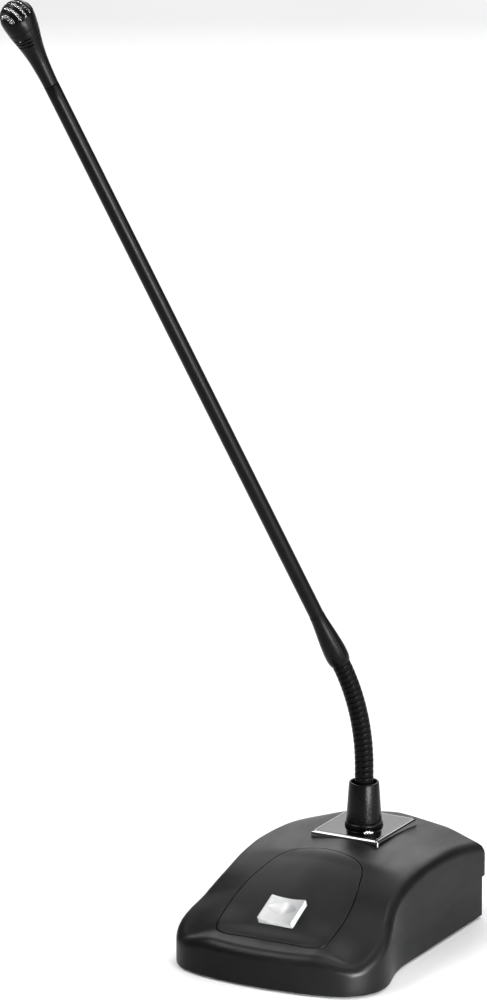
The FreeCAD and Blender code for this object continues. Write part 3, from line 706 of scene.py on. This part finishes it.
def within_the_walls(points, normals, inset):
    """Plan of the base drawn in by an inset, with the rear corners kept a little round."""
    inset = np.broadcast_to(np.reshape(inset, (-1, 1)), (len(points), 1))[:, 0]
    plan = points - normals * inset[:, None]
    radius = np.maximum(REAR_CORNER - inset, 0.3)
    centre_x = FLANK_END[0] - inset - radius
    centre_y = REAR_Y - inset - radius
    nose_y, flank_y = NOSE_OUTLINE[-1][1], FLANK_END[1]
    x, y = points.T
    behind, hair = y > nose_y, 1e-6
    flank = behind & (y <= flank_y + hair)
    share = (y - nose_y) / (flank_y - nose_y)
    plan[flank, 1] = (nose_y + (centre_y - nose_y) * share)[flank]
    rear = behind & (y >= REAR_Y - hair)
    plan[rear, 0] = (x * centre_x / (FLANK_END[0] - REAR_CORNER))[rear]
    bend = behind & ~flank & ~rear
    plan[bend, 0] = (np.sign(x) * centre_x + radius * normals[:, 0])[bend]
    plan[bend, 1] = (centre_y + radius * normals[:, 1])[bend]
    return plan


def panel_outline():
    """Plan outline of the control panel."""
    line, way = smooth_line(PANEL_OUTLINE, (1, 0), (-1, 0), 1.3)
    return both_halves(line, outward(way))


def make_cover():
    """Top housing: a smooth hump, a round front ridge and creased flanks."""
    outline = cover_outline()
    y = outline[0][:, 1]
    flank = ease((60.0 - y) / 30.0) * ease((y + 52.0) / 24.0)
    top_inset, shelf_inset = 6.4, 5.0
    rings = filling(outline, top_inset, COVER_SPINE, roof_height, 27)
    rings += [ring(outline, inset, roof_height) for inset in (top_inset, 5.7)]
    rings += rounded_edge(outline, 0.0, 4.8 + 0.3 * flank, roof_height, 13)
    wall_top = rings[-1][:, 2]
    for share in (0.25, 0.5, 0.75):
        level = ring(outline, 0.0, 0.0)
        level[:, 2] = wall_top * (1 - share) + (COVER_BOTTOM + 0.5) * share
        rings.append(level)
    rings += [ring(outline, inset, COVER_BOTTOM + lift)
              for inset, lift in ((0.0, 0.5), (0.08, 0.2), (0.3, 0.0), (WALL, 0.0))]
    rings += [ring(outline, inset, below_roof(ROOF + more))
              for inset, more in ((WALL, 4.0), (WALL + 0.6, 1.6), (shelf_inset, 0.0))]
    rings += filling(outline, shelf_inset, COVER_SPINE, below_roof(ROOF), 14)[::-1]
    cover = new_piece("cover_shell", *closed_skin(rings), "base", "cover_plastic", ["top_cover"])
    smooth = surface_of(cover)
    notch = loose_box("notch", (-60, 60), (REAR_WALL_Y, 90), (-3, LIP_BOTTOM))
    fit = 0.18
    opening = rounded_rectangle(PLATFORM_X + fit, (PLATFORM_Y[0] - fit, PLATFORM_Y[1] + fit), 0.9)
    guide_hole = loose_box("hole", (-13.5, 13.5), (-64.0, -36.0), (0, 75))
    carve(cover, notch, prism("opening", opening, (40.0, 80.0)), panel_pocket(), guide_hole)
    keep_shading(cover, smooth)


def loose_box(name, x_span, y_span, z_span):
    """A box to cut with."""
    points = [(x, y, z) for z in z_span for y in y_span for x in x_span]
    faces = [(0, 2, 3, 1), (4, 5, 7, 6), (0, 1, 5, 4), (2, 6, 7, 3), (0, 4, 6, 2), (1, 3, 7, 5)]
    return new_piece(name, points, faces)


def prism(name, outline, levels):
    """A closed upright block on a plan outline."""
    low, high = outline[0][:, 1].min(), outline[0][:, 1].max()
    spine = (low * 0.6 + high * 0.4, low * 0.4 + high * 0.6)
    rings = [ring_inside(outline, 0.0, 1.0, spine, levels[-1])]
    rings += [ring(outline, 0.0, level) for level in reversed(levels)]
    rings.append(ring_inside(outline, 0.0, 1.0, spine, levels[0]))
    return new_piece(name, *closed_skin(rings))


def panel_pocket():
    """The shallow pocket for the control panel, its rim broken by a small chamfer."""
    outline = panel_outline()
    above, floor = 75.0, below_roof(PANEL_THICK + 0.12)
    rings = [ring_inside(outline, 0.0, 1.0, PANEL_SPINE, above), ring(outline, -0.42, above),
             ring(outline, -0.42, below_roof(-0.08)), ring(outline, -0.27, below_roof(0.1)),
             ring(outline, -0.17, below_roof(0.32)), ring(outline, -PANEL_GAP, floor),
             ring(outline, 0.5, floor)]
    rings += filling(outline, 0.5, PANEL_SPINE, floor, 14)[::-1]
    return new_piece("pocket", *closed_skin(rings))


def make_panel():
    """Control panel let into the slope, with a soft edge and the button's hole."""
    outline = panel_outline()
    flat_inset = 2.2

    def proud(x, y):
        return roof_height(x, y) + 0.16 + 0.12 * ease((-50.0 - y) / 14.0)
    rings = filling(outline, flat_inset, PANEL_SPINE, proud, 19)
    rings += [ring(outline, inset, proud) for inset in (flat_inset, 1.3, 0.85)]
    rings += rounded_edge(outline, PANEL_GAP, 0.42, proud, 7)
    rings += [ring(outline, inset, below_roof(PANEL_THICK)) for inset in (PANEL_GAP, flat_inset)]
    rings += filling(outline, flat_inset, PANEL_SPINE, below_roof(PANEL_THICK), 8)[::-1]
    panel = new_piece("talk_panel", *closed_skin(rings), "base", "panel_plastic",
                      ["control_panel"])
    smooth = surface_of(panel)
    reach_x, reach_y = BUTTON_HALF_X + 0.22, BUTTON_HALF_Y + 0.22
    window = prism("window", rounded_rectangle(reach_x, (-reach_y, reach_y), 0.95), (-12.0, 12.0))
    set_on_slope(window)
    carve(panel, window)
    keep_shading(panel, smooth)


# ---- talk button ------------------------------------------------------------
def set_on_slope(piece):
    """Move a mesh made in the talk button's own frame to its place on the slope."""
    piece.data.transform(Matrix.Translation(Vector(BUTTON_CENTRE) * MM)
                         @ Matrix.Rotation(math.radians(BUTTON_TILT), 4, "X"))


def button_top(x, y):
    """Height of the cap: dished from side to side, with a lens-shaped finger mark."""
    dish_r, sink = 42.0, 0.8
    top = BUTTON_PROUD - sink + dish_r - np.sqrt(dish_r ** 2 - x ** 2)
    mark_half, mark_depth, steep = 8.2, 1.3, 0.16
    reach = np.clip(1 - (x / mark_half) ** 2, 0.0, 1.0)
    low = 0.8 - 3.6 * reach
    share = np.clip((y - low) / (8.9 * reach + 0.01), 0.0, 1.0)
    dip = np.where(share < steep, np.sin(share / steep * math.pi / 2), (1 - share) / (1 - steep))
    return top - mark_depth * np.sqrt(reach) * dip


def make_button():
    """Translucent cap of the talk button."""
    outline = rounded_rectangle(BUTTON_HALF_X, (-BUTTON_HALF_Y, BUTTON_HALF_Y), 0.75, 60)
    edge_round, wall, inside_top = 0.4, 1.5, 0.3
    spine = (-2.0, 2.0)
    rings = filling(outline, edge_round, spine, button_top, 44)
    rings += rounded_edge(outline, 0.0, edge_round, button_top, 6)
    rings += [ring(outline, -0.06, -BUTTON_DEPTH), ring(outline, wall, -BUTTON_DEPTH),
              ring(outline, wall, inside_top), ring_inside(outline, wall, 1.0, spine, inside_top)]
    set_on_slope(new_piece("talk_button_cap", *closed_skin(rings), "button", "button_plastic",
                           ["push_button"], 50))


# ---- socket -----------------------------------------------------------------
def make_platform():
    """Polished platform round the socket, bevelled, with a thin groove inside."""
    outline = rounded_rectangle(PLATFORM_X, PLATFORM_Y, 0.6)
    groove = PLATFORM_X - FACE_X - 0.24
    stack = [(0.0, PLATFORM_BOTTOM), (0.0, PLATE_TOP - 0.84), (0.04, PLATE_TOP - 0.74),
             (0.11, PLATE_TOP - 0.65), (0.6, PLATE_TOP - 0.18), (0.7, PLATE_TOP - 0.09),
             (0.82, PLATE_TOP - 0.03), (0.96, PLATE_TOP), (groove - 0.12, PLATE_TOP),
             (groove - 0.03, PLATE_TOP - 0.04), (groove, PLATE_TOP - 0.14),
             (groove, PLATE_TOP - FACE_THICK), (3.4, PLATE_TOP - FACE_THICK),
             (3.4, PLATFORM_BOTTOM)]
    rings = [ring(outline, inset, height) for inset, height in stack]
    faces = skin_faces(len(rings), len(rings[0]))
    new_piece("socket_frame", np.concatenate(rings), faces, "base", "polished_plate",
              ["socket_platform"], 24)


def make_faceplate():
    """Polished face plate with the socket's bore and the release tab's slot."""
    outline = rounded_rectangle(FACE_X, FACE_Y, 0.5)
    top, bottom = PLATE_TOP, PLATE_TOP - FACE_THICK + 0.02
    middle = (30.0, 47.0)
    rings = [ring_inside(outline, 0.16, 1.0, middle, top), ring(outline, 0.16, top),
             ring(outline, 0.05, top - 0.05), ring(outline, 0.0, top - 0.16),
             ring(outline, 0.0, bottom), ring_inside(outline, 0.0, 1.0, middle, bottom)]
    plate = new_piece("socket_face", *closed_skin(rings), "base", "polished_plate",
                      ["socket_faceplate"], 24)
    bore = [(0, 40), (SOCKET_BORE_R + 0.02, 40), (SOCKET_BORE_R + 0.02, top - 0.2),
            (SOCKET_BORE_R + 0.25, top + 0.03), (SOCKET_BORE_R + 0.25, 70), (0, 70)]
    points, faces = turned(bore, 128)
    cutter = new_piece("bore", points + np.array([0, SOCKET_Y, 0]), faces)
    slot = rounded_rectangle(LATCH_WIDTH / 2 + 0.3, latch_span(0.3), 0.4)
    window = prism("latch_window", slot, (40.0, 70.0))
    turn_about_socket(window)
    carve(plate, cutter, window)
    plate.data.set_sharp_from_angle(angle=math.radians(24))


def latch_span(margin):
    """Near and far limits of the release tab before it is turned round the socket."""
    half = LATCH_DEPTH / 2 + margin
    return (-LATCH_R - half, -LATCH_R + half)


def turn_about_socket(piece):
    """Move a mesh made about the origin to its angle round the socket."""
    piece.data.transform(Matrix.Translation((0, SOCKET_Y * MM, 0))
                         @ Matrix.Rotation(math.radians(LATCH_TURN), 4, "Z"))


def make_latch():
    """Release tab with a domed, ribbed thumb face."""
    outline = rounded_rectangle(LATCH_WIDTH / 2, latch_span(0.0), 0.35, 30)
    crown, rib_depth, rib_pitch = PLATE_TOP + LATCH_PROUD - 0.16, 0.12, 1.1

    def thumb(x, y):
        return crown - 0.07 * x ** 2 + rib_depth * np.cos(x * 2 * math.pi / rib_pitch)
    spine = (-LATCH_R - 0.2, -LATCH_R + 0.2)
    edge_round = 0.25
    rings = [ring_inside(outline, edge_round, share, spine, thumb) for share in (1.0, 0.5, 0.0)]
    rings += rounded_edge(outline, 0.0, edge_round, thumb, 5)
    rings += [ring(outline, 0.0, LATCH_FOOT), ring_inside(outline, 0.0, 1.0, spine, LATCH_FOOT)]
    turn_about_socket(new_piece("release_tab", *closed_skin(rings), "latch", "bright_metal",
                                ["latch_tab"]))


def make_coil():
    """Spring under the release tab, with a closed turn at each end."""
    turns, steps, sides = 7, 28, 8
    low = COIL_FOOT + COIL_WIRE_R + 0.05
    high = LATCH_FOOT - COIL_WIRE_R - 0.05
    closed = 2 * COIL_WIRE_R + 0.03
    along = np.arange(turns * steps + 1) / steps
    height = np.interp(along, [0, 1, turns - 1, turns], [low, low + closed, high - closed, high])
    angle = along * 2 * math.pi
    away = np.column_stack([np.cos(angle), np.sin(angle), np.zeros(len(angle))])
    line = away * COIL_R + np.array([0, -LATCH_R, 0])
    line[:, 2] += height
    up = np.cross(lengths_made_one(np.gradient(line, axis=0)), away)
    rings = ([np.tile(line[0], (sides, 1))] + wire(line, away, up, COIL_WIRE_R, sides)
             + [np.tile(line[-1], (sides, 1))])
    coil = new_piece("latch_coil", *closed_skin(rings))
    turn_about_socket(coil)
    coil.data.materials.append(finishes["spring_steel"])
    turn = math.radians(LATCH_TURN)
    foot = Vector((LATCH_R * math.sin(turn), SOCKET_Y - LATCH_R * math.cos(turn), low + closed))
    head = foot.copy()
    head.z = high - closed
    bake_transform(coil)
    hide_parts("latch_spring")


# ---- plug, cone and neck ----------------------------------------------------
def make_cone():
    """Cone at the foot of the neck, with its bead and its open cup."""
    foot = SEAT + BEAD_THICK
    profile = [(NECK_R + 0.12, foot + 0.05), (CONE_FOOT_R - 0.3, foot + 0.05),
               (CONE_FOOT_R - 0.3, foot + 0.3), (CONE_FOOT_R, foot + 0.45),
               (CONE_TOP_R + 0.02, CONE_TOP - 0.9), (CONE_TOP_R - 0.25, CONE_TOP),
               (CUP_R + 0.35, CONE_TOP), (CUP_R, CONE_TOP - 0.6), (CUP_R, CUP_FLOOR + 0.1),
               (NECK_R + 0.12, CUP_FLOOR)]
    points, faces = turned(softened(profile, 0.35, 4), 128)
    shift = np.array([0, SOCKET_Y, 0])
    new_piece("neck_cone", points + shift, faces, "plug", "cone_plastic", ["plug_cone"], 40)
    angle = np.linspace(-90, 90, 13)
    rim = [(BEAD_R - 1.1 + 1.1 * math.cos(math.radians(a)),
            SEAT + 1.1 + 1.08 * math.sin(math.radians(a))) for a in angle]
    profile = [(5.2, SEAT + 0.02)] + rim + [(5.2, foot - 0.02)]
    points, faces = turned(profile, 128)
    new_piece("neck_bead", points + shift, faces, "plug", "cone_plastic", ["flange_ring"], 60)


def lean_direction():
    """Level direction in which the neck leans."""
    turn = math.radians(NECK_TURN)
    return np.array([-math.sin(turn), -math.cos(turn), 0.0])


def neck_frame(along):
    """Centre, forward, side and upward directions of the neck at a distance from its foot."""
    along = np.atleast_1d(np.asarray(along, float))
    forward = lean_direction()
    up = np.array([0.0, 0.0, 1.0])
    radius = NECK_ARC / math.radians(NECK_LEAN)
    on_arc = np.clip(along - NECK_STRAIGHT, 0.0, NECK_ARC)
    angle = (on_arc / radius)[:, None]
    below = np.minimum(along, NECK_STRAIGHT)[:, None]
    beyond = np.maximum(along - NECK_LENGTH, 0.0)[:, None]
    way = forward * np.sin(angle) + up * np.cos(angle)
    centre = (np.array([0.0, SOCKET_Y, NECK_FOOT]) + up * (below + radius * np.sin(angle))
              + forward * radius * (1 - np.cos(angle)) + way * beyond)
    across = forward * np.cos(angle) - up * np.sin(angle)
    side = np.cross(way, across)
    return centre, across, side, way


def winding(low, high):
    """Points and faces of the wound tube between two distances along the neck."""
    around, per_turn = 64, 14
    theta = np.arange(around) * 2 * math.pi / around
    first = math.floor(low / TURN_PITCH * per_turn) - per_turn
    last = math.ceil(high / TURN_PITCH * per_turn)
    rings = []
    for k in range(first, last + 1):
        phase = k / per_turn
        along = (phase + theta / (2 * math.pi)) * TURN_PITCH
        swell = abs(2 * (phase % 1.0) - 1)
        radius = NECK_R - 0.07 * swell ** 2 - 0.33 * swell ** 9
        centre, across, side, _ = neck_frame(along)
        rings.append(centre + radius * (across * np.cos(theta)[:, None]
                                        + side * np.sin(theta)[:, None]))
    faces = []
    for k in range(len(rings) - 1):
        a, b = k * around, (k + 1) * around
        faces += [(a + i, a + i + 1, b + i + 1, b + i) for i in range(around - 1)]
        if k + per_turn < len(rings) - 1:
            c, d = a + per_turn * around, b + per_turn * around
            faces.append((a + around - 1, c, d, b + around - 1))
    return np.concatenate(rings), faces


def make_neck():
    """The wound skin of the flexible neck, cut in lengths that are each centred on one joint."""
    points, faces = winding(SKIN_LOW - 3, SKIN_HIGH + 3)
    whole = new_piece("winding", points, faces, None, None, (), 60)
    smooth = surface_of(whole)
    for joint in range(LINK_COUNT + 1):
        low = LINK_PITCH * (joint - 0.5) if joint else SKIN_LOW
        high = LINK_PITCH * (joint + 0.5) if joint < LINK_COUNT else SKIN_HIGH
        length = whole.copy()
        length.data = whole.data.copy()
        length.name = "neck_winding_%02d" % joint
        length.data.name = length.name
        bpy.context.scene.collection.objects.link(length)
        cut_between(length, low, high)
        keep_shading(length, smooth, 60)
        length.data.materials.append(finishes["neck_metal"])
        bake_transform(length)
        node = "neck_link_%02d" % joint if joint else "neck_ferrule"
        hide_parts(node)
    bpy.data.objects.remove(whole)


def cut_between(piece, low, high):
    """Keep what lies between two distances along the neck, as a tube with a wall."""
    shape = bmesh.new()
    shape.from_mesh(piece.data)
    for along, sign in ((low, 1.0), (high, -1.0)):
        centre, _, _, way = neck_frame(along)
        bmesh.ops.bisect_plane(shape, geom=shape.verts[:] + shape.edges[:] + shape.faces[:],
                               plane_co=Vector(centre[0] * MM), plane_no=Vector(way[0]) * sign,
                               clear_inner=True)
    ends = [e for e in shape.edges if e.is_boundary]
    inner = bmesh.ops.extrude_edge_only(shape, edges=ends)
    middles = [Vector(neck_frame(along)[0][0] * MM) for along in (low, high)]
    inner_share = 0.82
    for vertex in inner["geom"]:
        if isinstance(vertex, bmesh.types.BMVert):
            middle = min(middles, key=lambda point: (vertex.co - point).length)
            vertex.co = middle + (vertex.co - middle) * inner_share
    shape.to_mesh(piece.data)
    shape.free()


# ---- stem and head ----------------------------------------------------------
def stand_on_neck(piece):
    """Move a mesh made in the stem's own frame to its place at the end of the neck."""
    centre, _, _, way = neck_frame(NECK_LENGTH)
    turn = Vector((0, 0, 1)).rotation_difference(Vector(way[0]))
    piece.data.transform(Matrix.Translation(Vector(centre[0]) * MM) @ turn.to_matrix().to_4x4())


def make_sleeve():
    """Coupling sleeve between the neck and the stem."""
    curve = [(SLEEVE_FOOT + 0.75, 5.45), (2.4, 5.72), (4.0, 5.9), (5.5, 5.95), (7.8, 5.92),
             (10, 5.8), (13, 5.58), (16, 5.3), (19.5, 4.93), (22.5, 4.6), (25.5, 4.3),
             (28, 4.08), (SLEEVE_TOP - 0.25, 3.98)]
    heights = np.linspace(curve[0][0], curve[-1][0], 30)
    bore, deep = 3.0, SLEEVE_FOOT + 4
    profile = ([(NECK_R + 0.12, deep), (NECK_R + 0.12, SLEEVE_FOOT + 0.2),
                (NECK_R + 0.3, SLEEVE_FOOT), (5.2, SLEEVE_FOOT), (5.32, SLEEVE_FOOT + 0.12),
                (5.32, SLEEVE_FOOT + 0.55)] + list(zip(through(curve, heights), heights))
               + [(STEM_R + 0.02, SLEEVE_TOP), (bore, SLEEVE_TOP), (bore, deep)])
    stand_on_neck(new_piece("sleeve", *turned(softened(profile, 0.12), 96), "stem", "stem_paint",
                            ["coupling_sleeve"], 30))


def make_stem():
    """Straight stem tube, with a fine joint line at each end."""
    low, high, bore = SLEEVE_TOP - 1.0, HEAD_FOOT - 0.06, 3.0
    heights = np.linspace(low + 1.2, high - 0.3, 40)
    profile = ([(bore, low), (STEM_R - 0.1, low), (STEM_R - 0.1, low + 1.1)]
               + [(STEM_R, h) for h in heights] + [(STEM_R - 0.14, high), (bore, high)])
    stand_on_neck(new_piece("stem_barrel", *turned(profile, 96), "stem", "stem_paint",
                            ["stem_tube"], 30))


def head_radius(height):
    """Outer radius of the head's flare."""
    return through(HEAD_CURVE, height - HEAD_FOOT)


def make_head():
    """Flared head housing with three groups of three sound slits."""
    heights = np.linspace(HEAD_FOOT + 0.3, GRILLE_FOOT - 0.04, 56)
    radii = head_radius(heights)
    bore = 2.6
    inner = [(max(r - HEAD_WALL, bore), h) for r, h in zip(radii[::-1], heights[::-1])]
    profile = ([(STEM_R - 0.16, HEAD_FOOT + 0.04)] + list(zip(radii, heights))
               + [(radii[-1] - 0.03, GRILLE_FOOT), (radii[-1] - HEAD_WALL, GRILLE_FOOT)]
               + inner[1:-1] + [(bore, HEAD_FOOT + 0.04)])
    head = new_piece("head_flare", *turned(profile, 144), "stem", "stem_paint",
                     ["head_housing"], 30)
    smooth = surface_of(head)
    carve(head, *[vent_cutter(side, row) for side in range(3) for row in range(3)])
    keep_shading(head, smooth, 30)
    stand_on_neck(head)


def vent_cutter(side, row):
    """Block that cuts one curved slit, with round ends."""
    half = VENT_WIDTH / 2
    middle = VENT_FOOT + VENT_PITCH * row + half
    start = VENT_START + 120 * side
    end = start + VENT_ARC
    sweep = np.linspace(0, math.pi / 2, 4)
    tip = np.degrees(half * (1 - np.cos(sweep)) / 7.0)
    turns = np.concatenate([start + tip, np.linspace(start + tip[-1], end - tip[-1], 26)[1:-1],
                            (end - tip)[::-1]])
    tip_width = half * np.sin(sweep) + 0.02
    widths = np.concatenate([tip_width, np.full(24, half + 0.02), tip_width[::-1]])
    inner_r, outer_r = 4.6, 9.5
    rings = [[(radius * math.cos(turn), radius * math.sin(turn), middle + height)
              for radius, height in ((inner_r, -width), (outer_r, -width),
                                     (outer_r, width), (inner_r, width))]
             for turn, width in zip(np.radians(turns), widths)]
    last = 4 * (len(rings) - 1)
    faces = skin_faces(len(rings), 4, False) + [(3, 2, 1, 0), (last, last + 1, last + 2, last + 3)]
    return new_piece("vent", np.concatenate(rings), faces)


def dome_profile(radius, foot_radius, foot):
    """Outline of a ball-ended cap from its foot to its crown."""
    flare = [(foot, foot_radius), (DOME_CENTRE - 4.2, foot_radius + (radius - foot_radius) * 0.5),
             (DOME_CENTRE - 2.0, foot_radius + (radius - foot_radius) * 0.86),
             (DOME_CENTRE, radius)]
    heights = np.linspace(foot, DOME_CENTRE, 14)
    angles = np.radians(np.linspace(0, 90, 40)[1:])
    return (list(zip(through(flare, heights), heights))
            + [(radius * math.cos(a), DOME_CENTRE + radius * math.sin(a)) for a in angles])


def make_grille():
    """Slotted dome of the head."""
    foot_r = head_radius(GRILLE_FOOT) - 0.02
    outer = dome_profile(DOME_R, foot_r, GRILLE_FOOT + 0.07)
    inner = dome_profile(DOME_R - HEAD_WALL, foot_r - HEAD_WALL, GRILLE_FOOT + 0.05)
    profile = [(foot_r - 0.03, GRILLE_FOOT + 0.03)] + outer[:-1] + [(0.0, DOME_CENTRE + DOME_R)]
    profile += [(0.0, DOME_CENTRE + DOME_R - HEAD_WALL)] + inner[:-1][::-1]
    grille = new_piece("head_dome", *turned(profile, 160), "stem", "stem_paint",
                       ["head_grille"], 40)
    smooth = surface_of(grille)
    carve(grille, *[slot_cutter(number) for number in range(-2, 3)])
    edges = grille.modifiers.new("rims", "BEVEL")
    edges.width = 0.12 * MM
    edges.segments = 2
    edges.limit_method = "ANGLE"
    edges.angle_limit = math.radians(50)
    settle(grille)
    keep_shading(grille, smooth, 45)
    stand_on_neck(grille)


def slot_cutter(number):
    """Block that cuts one slot over the dome, with soft lower corners."""
    outline = rounded_rectangle(SLOT_WIDTH / 2, (0.5, 15.0), 0.35, 8)[0]
    count = len(outline)
    points = [(side, x + SLOT_PITCH * number, z + DOME_CENTRE)
              for side in (-12.0, 12.0) for x, z in outline]
    faces = skin_faces(2, count, False)
    faces += [tuple(range(count))[::-1], tuple(range(count, 2 * count))]
    block = new_piece("slot", points, faces)
    block.data.transform(Matrix.Rotation(math.radians(SLOT_TURN), 4, "Z"))
    return block


def make_screen():
    """Woven wire screen inside the dome: each wire passes over and under the others."""
    radius = DOME_R - HEAD_WALL - 0.18
    pitch, wire_r, sides = 0.78, 0.15, 6
    lift = wire_r * 0.95
    shortest, overlap, per_pitch = 1.0, 1.06, 5
    count = int(radius / pitch)
    points, faces = [], []
    for family in (0, 1):
        for number in range(-count, count + 1):
            offset = number * pitch
            half = math.sqrt(max(radius ** 2 - offset ** 2 - 0.2, 0.0))
            if half < shortest:
                continue
            samples = max(8, int(half * 2 / pitch * per_pitch))
            angle = np.linspace(-1.0, 1.0, samples) * math.pi / 2 * overlap
            along = half * np.sin(angle)
            weave = lift * np.cos(along / pitch * math.pi) * (1 if (number + family) % 2 else -1)
            middle = np.column_stack([along, np.full(samples, offset), half * np.cos(angle)])
            if family:
                middle = middle[:, [1, 0, 2]]
            away = lengths_made_one(middle)
            line = middle + away * weave[:, None]
            way = lengths_made_one(np.gradient(line, axis=0))
            side = lengths_made_one(np.cross(way, away))
            first = len(points)
            last = first + (samples - 1) * sides
            points += list(np.concatenate(wire(line, side, np.cross(side, way), wire_r, sides)))
            faces += [tuple(first + k for k in face) for face in skin_faces(samples, sides, False)]
            faces += [tuple(range(first, first + sides))[::-1], tuple(range(last, last + sides))]
    points = np.array(points) + np.array([0, 0, DOME_CENTRE])
    stand_on_neck(new_piece("wire_screen", points, faces, "stem", "mesh_metal",
                            ["mesh_screen"], 70))


def make_foam():
    """Foam cap behind the wire screen, a little lumpy."""
    radius = DOME_R - HEAD_WALL - 0.75
    angles = np.radians(np.linspace(-8, 90, 30))
    profile = [(0.0, DOME_CENTRE - 1.2)]
    profile += [(radius * math.cos(a), DOME_CENTRE + radius * math.sin(a)) for a in angles[:-1]]
    profile.append((0.0, DOME_CENTRE + radius))
    points, faces = turned(profile, 72)
    lumps = np.sin(points[:, 0] * 3.1) * np.sin(points[:, 1] * 2.7) * np.sin(points[:, 2] * 3.3)
    middle = np.array([0, 0, DOME_CENTRE])
    points = middle + (points - middle) * (1 - 0.012 * (1 + lumps))[:, None]
    stand_on_neck(new_piece("foam_cap", points, faces, "stem", "foam", ["foam_disc"], 50))


# ---- studio -----------------------------------------------------------------
def make_floor():
    """Plain pale floor."""
    count = 96
    angle = np.arange(count) * 2 * math.pi / count
    round_plan = np.column_stack([np.cos(angle), np.sin(angle), np.zeros(count)])
    radii = (0.0, 400.0, 1500.0, 6000.0, 25000.0)
    floor = new_piece("floor", *closed_skin([round_plan * radius for radius in radii]))
    m = Recipe("floor_paper")
    m.colour(grey(0.54), grey(0.565), m.ranged(m.noise(3, 3), 0, 1))
    m.rough(m.ranged(m.noise(40, 2), 0.85, 0.95))
    m.bumped((m.noise(900, 2), 0.00002, 0.2))
    m.fixed(level=0.1)
    floor.data.materials.append(m.material)


def soft_box(name, place, aim, size, brightness, half_spread=90.0):
    """Rectangular lamp at a place in metres, turned to a point, of a given brightness.

    half_spread is how far its light fans out to each side, in degrees.
    """
    lamp = bpy.data.lights.new(name, "AREA")
    lamp.shape = "RECTANGLE"
    lamp.size, lamp.size_y = size
    fan = math.sin(math.radians(half_spread)) ** 2
    lamp.energy = brightness * math.pi * size[0] * size[1] * fan
    lamp.spread = 2 * math.radians(half_spread)
    lit = bpy.data.objects.new(name, lamp)
    bpy.context.scene.collection.objects.link(lit)
    lit.location = place
    way = Vector(aim) - Vector(place)
    lit.rotation_euler = way.to_track_quat("-Z", "Y").to_euler()
    lit.visible_camera = False


def make_studio():
    """Soft lamps above, behind and to the right, and a dim pale room."""
    soft_box("key", (-0.75, -0.5, 1.4), (0, -0.05, 0.03), (0.9, 0.7), 13.0)
    soft_box("crown", (0.26, 0.0, 1.35), (0, -0.05, 0.03), (0.5, 0.4), 13.0)
    soft_box("overhead", (-0.6, 0.8, 1.4), (0, 0, 0.05), (1.4, 1.0), 0.5)
    soft_box("back", (-0.9, 1.6, 0.72), (0, 0, 0.1), (1.7, 1.2), 1.1)
    soft_box("far_floor", (-1.0, 3.3, 2.8), (-1.0, 2.3, 0), (4.4, 2.6), 5.2)
    soft_box("right", (0.95, -0.1, 0.36), (0, 0, 0.1), (1.0, 0.7), 4.8)
    soft_box("low_right", (0.8, -0.42, 0.075), (0, -0.05, 0.03), (0.5, 0.13), 55.0)
    soft_box("corner", (0.37, -0.235, 0.02), (0.04, -0.056, 0.012), (0.12, 0.032), 480.0, 8.0)
    world = bpy.data.worlds.new("room")
    world.use_nodes = True
    sky = world.node_tree.nodes["Background"]
    sky.inputs["Color"].default_value = (1, 1, 1, 1)
    sky.inputs["Strength"].default_value = 0.22
    bpy.context.scene.world = world


def make_camera():
    """Camera in front of the object, to its right and above."""
    turn, rise = math.radians(28.4), math.radians(16.1665)
    toward = Vector((math.sin(turn) * math.cos(rise), -math.cos(turn) * math.cos(rise),
                     math.sin(rise)))
    right = Vector((math.cos(turn), math.sin(turn), 0))
    up = toward.cross(right)
    distance, focal = 4600.0, 9040.0
    aim = Vector((-4.83, -21.86, 30.0))
    across, upward = 56.5 / focal * distance, -400.0 / focal * distance
    place = aim - right * across - up * upward + toward * distance
    view = bpy.data.cameras.new("view")
    view.sensor_fit = "VERTICAL"
    view.sensor_height = 36.0
    view.lens = 36.0 * focal / 1000.0
    view.clip_start, view.clip_end = 0.1, 60.0
    camera = bpy.data.objects.new("camera", view)
    bpy.context.scene.collection.objects.link(camera)
    turned_to = Matrix((right, up, toward)).transposed().to_4x4()
    camera.matrix_world = Matrix.Translation(place * MM) @ turned_to
    bpy.context.scene.camera = camera


dress_the_frame()
make_cover()
make_panel()
make_button()
make_platform()
make_faceplate()
make_latch()
make_coil()
make_cone()
make_neck()
make_sleeve()
make_stem()
make_head()
make_grille()
make_screen()
make_foam()
make_floor()
make_studio()
make_camera()
bpy.context.scene.view_settings.view_transform = "Standard"
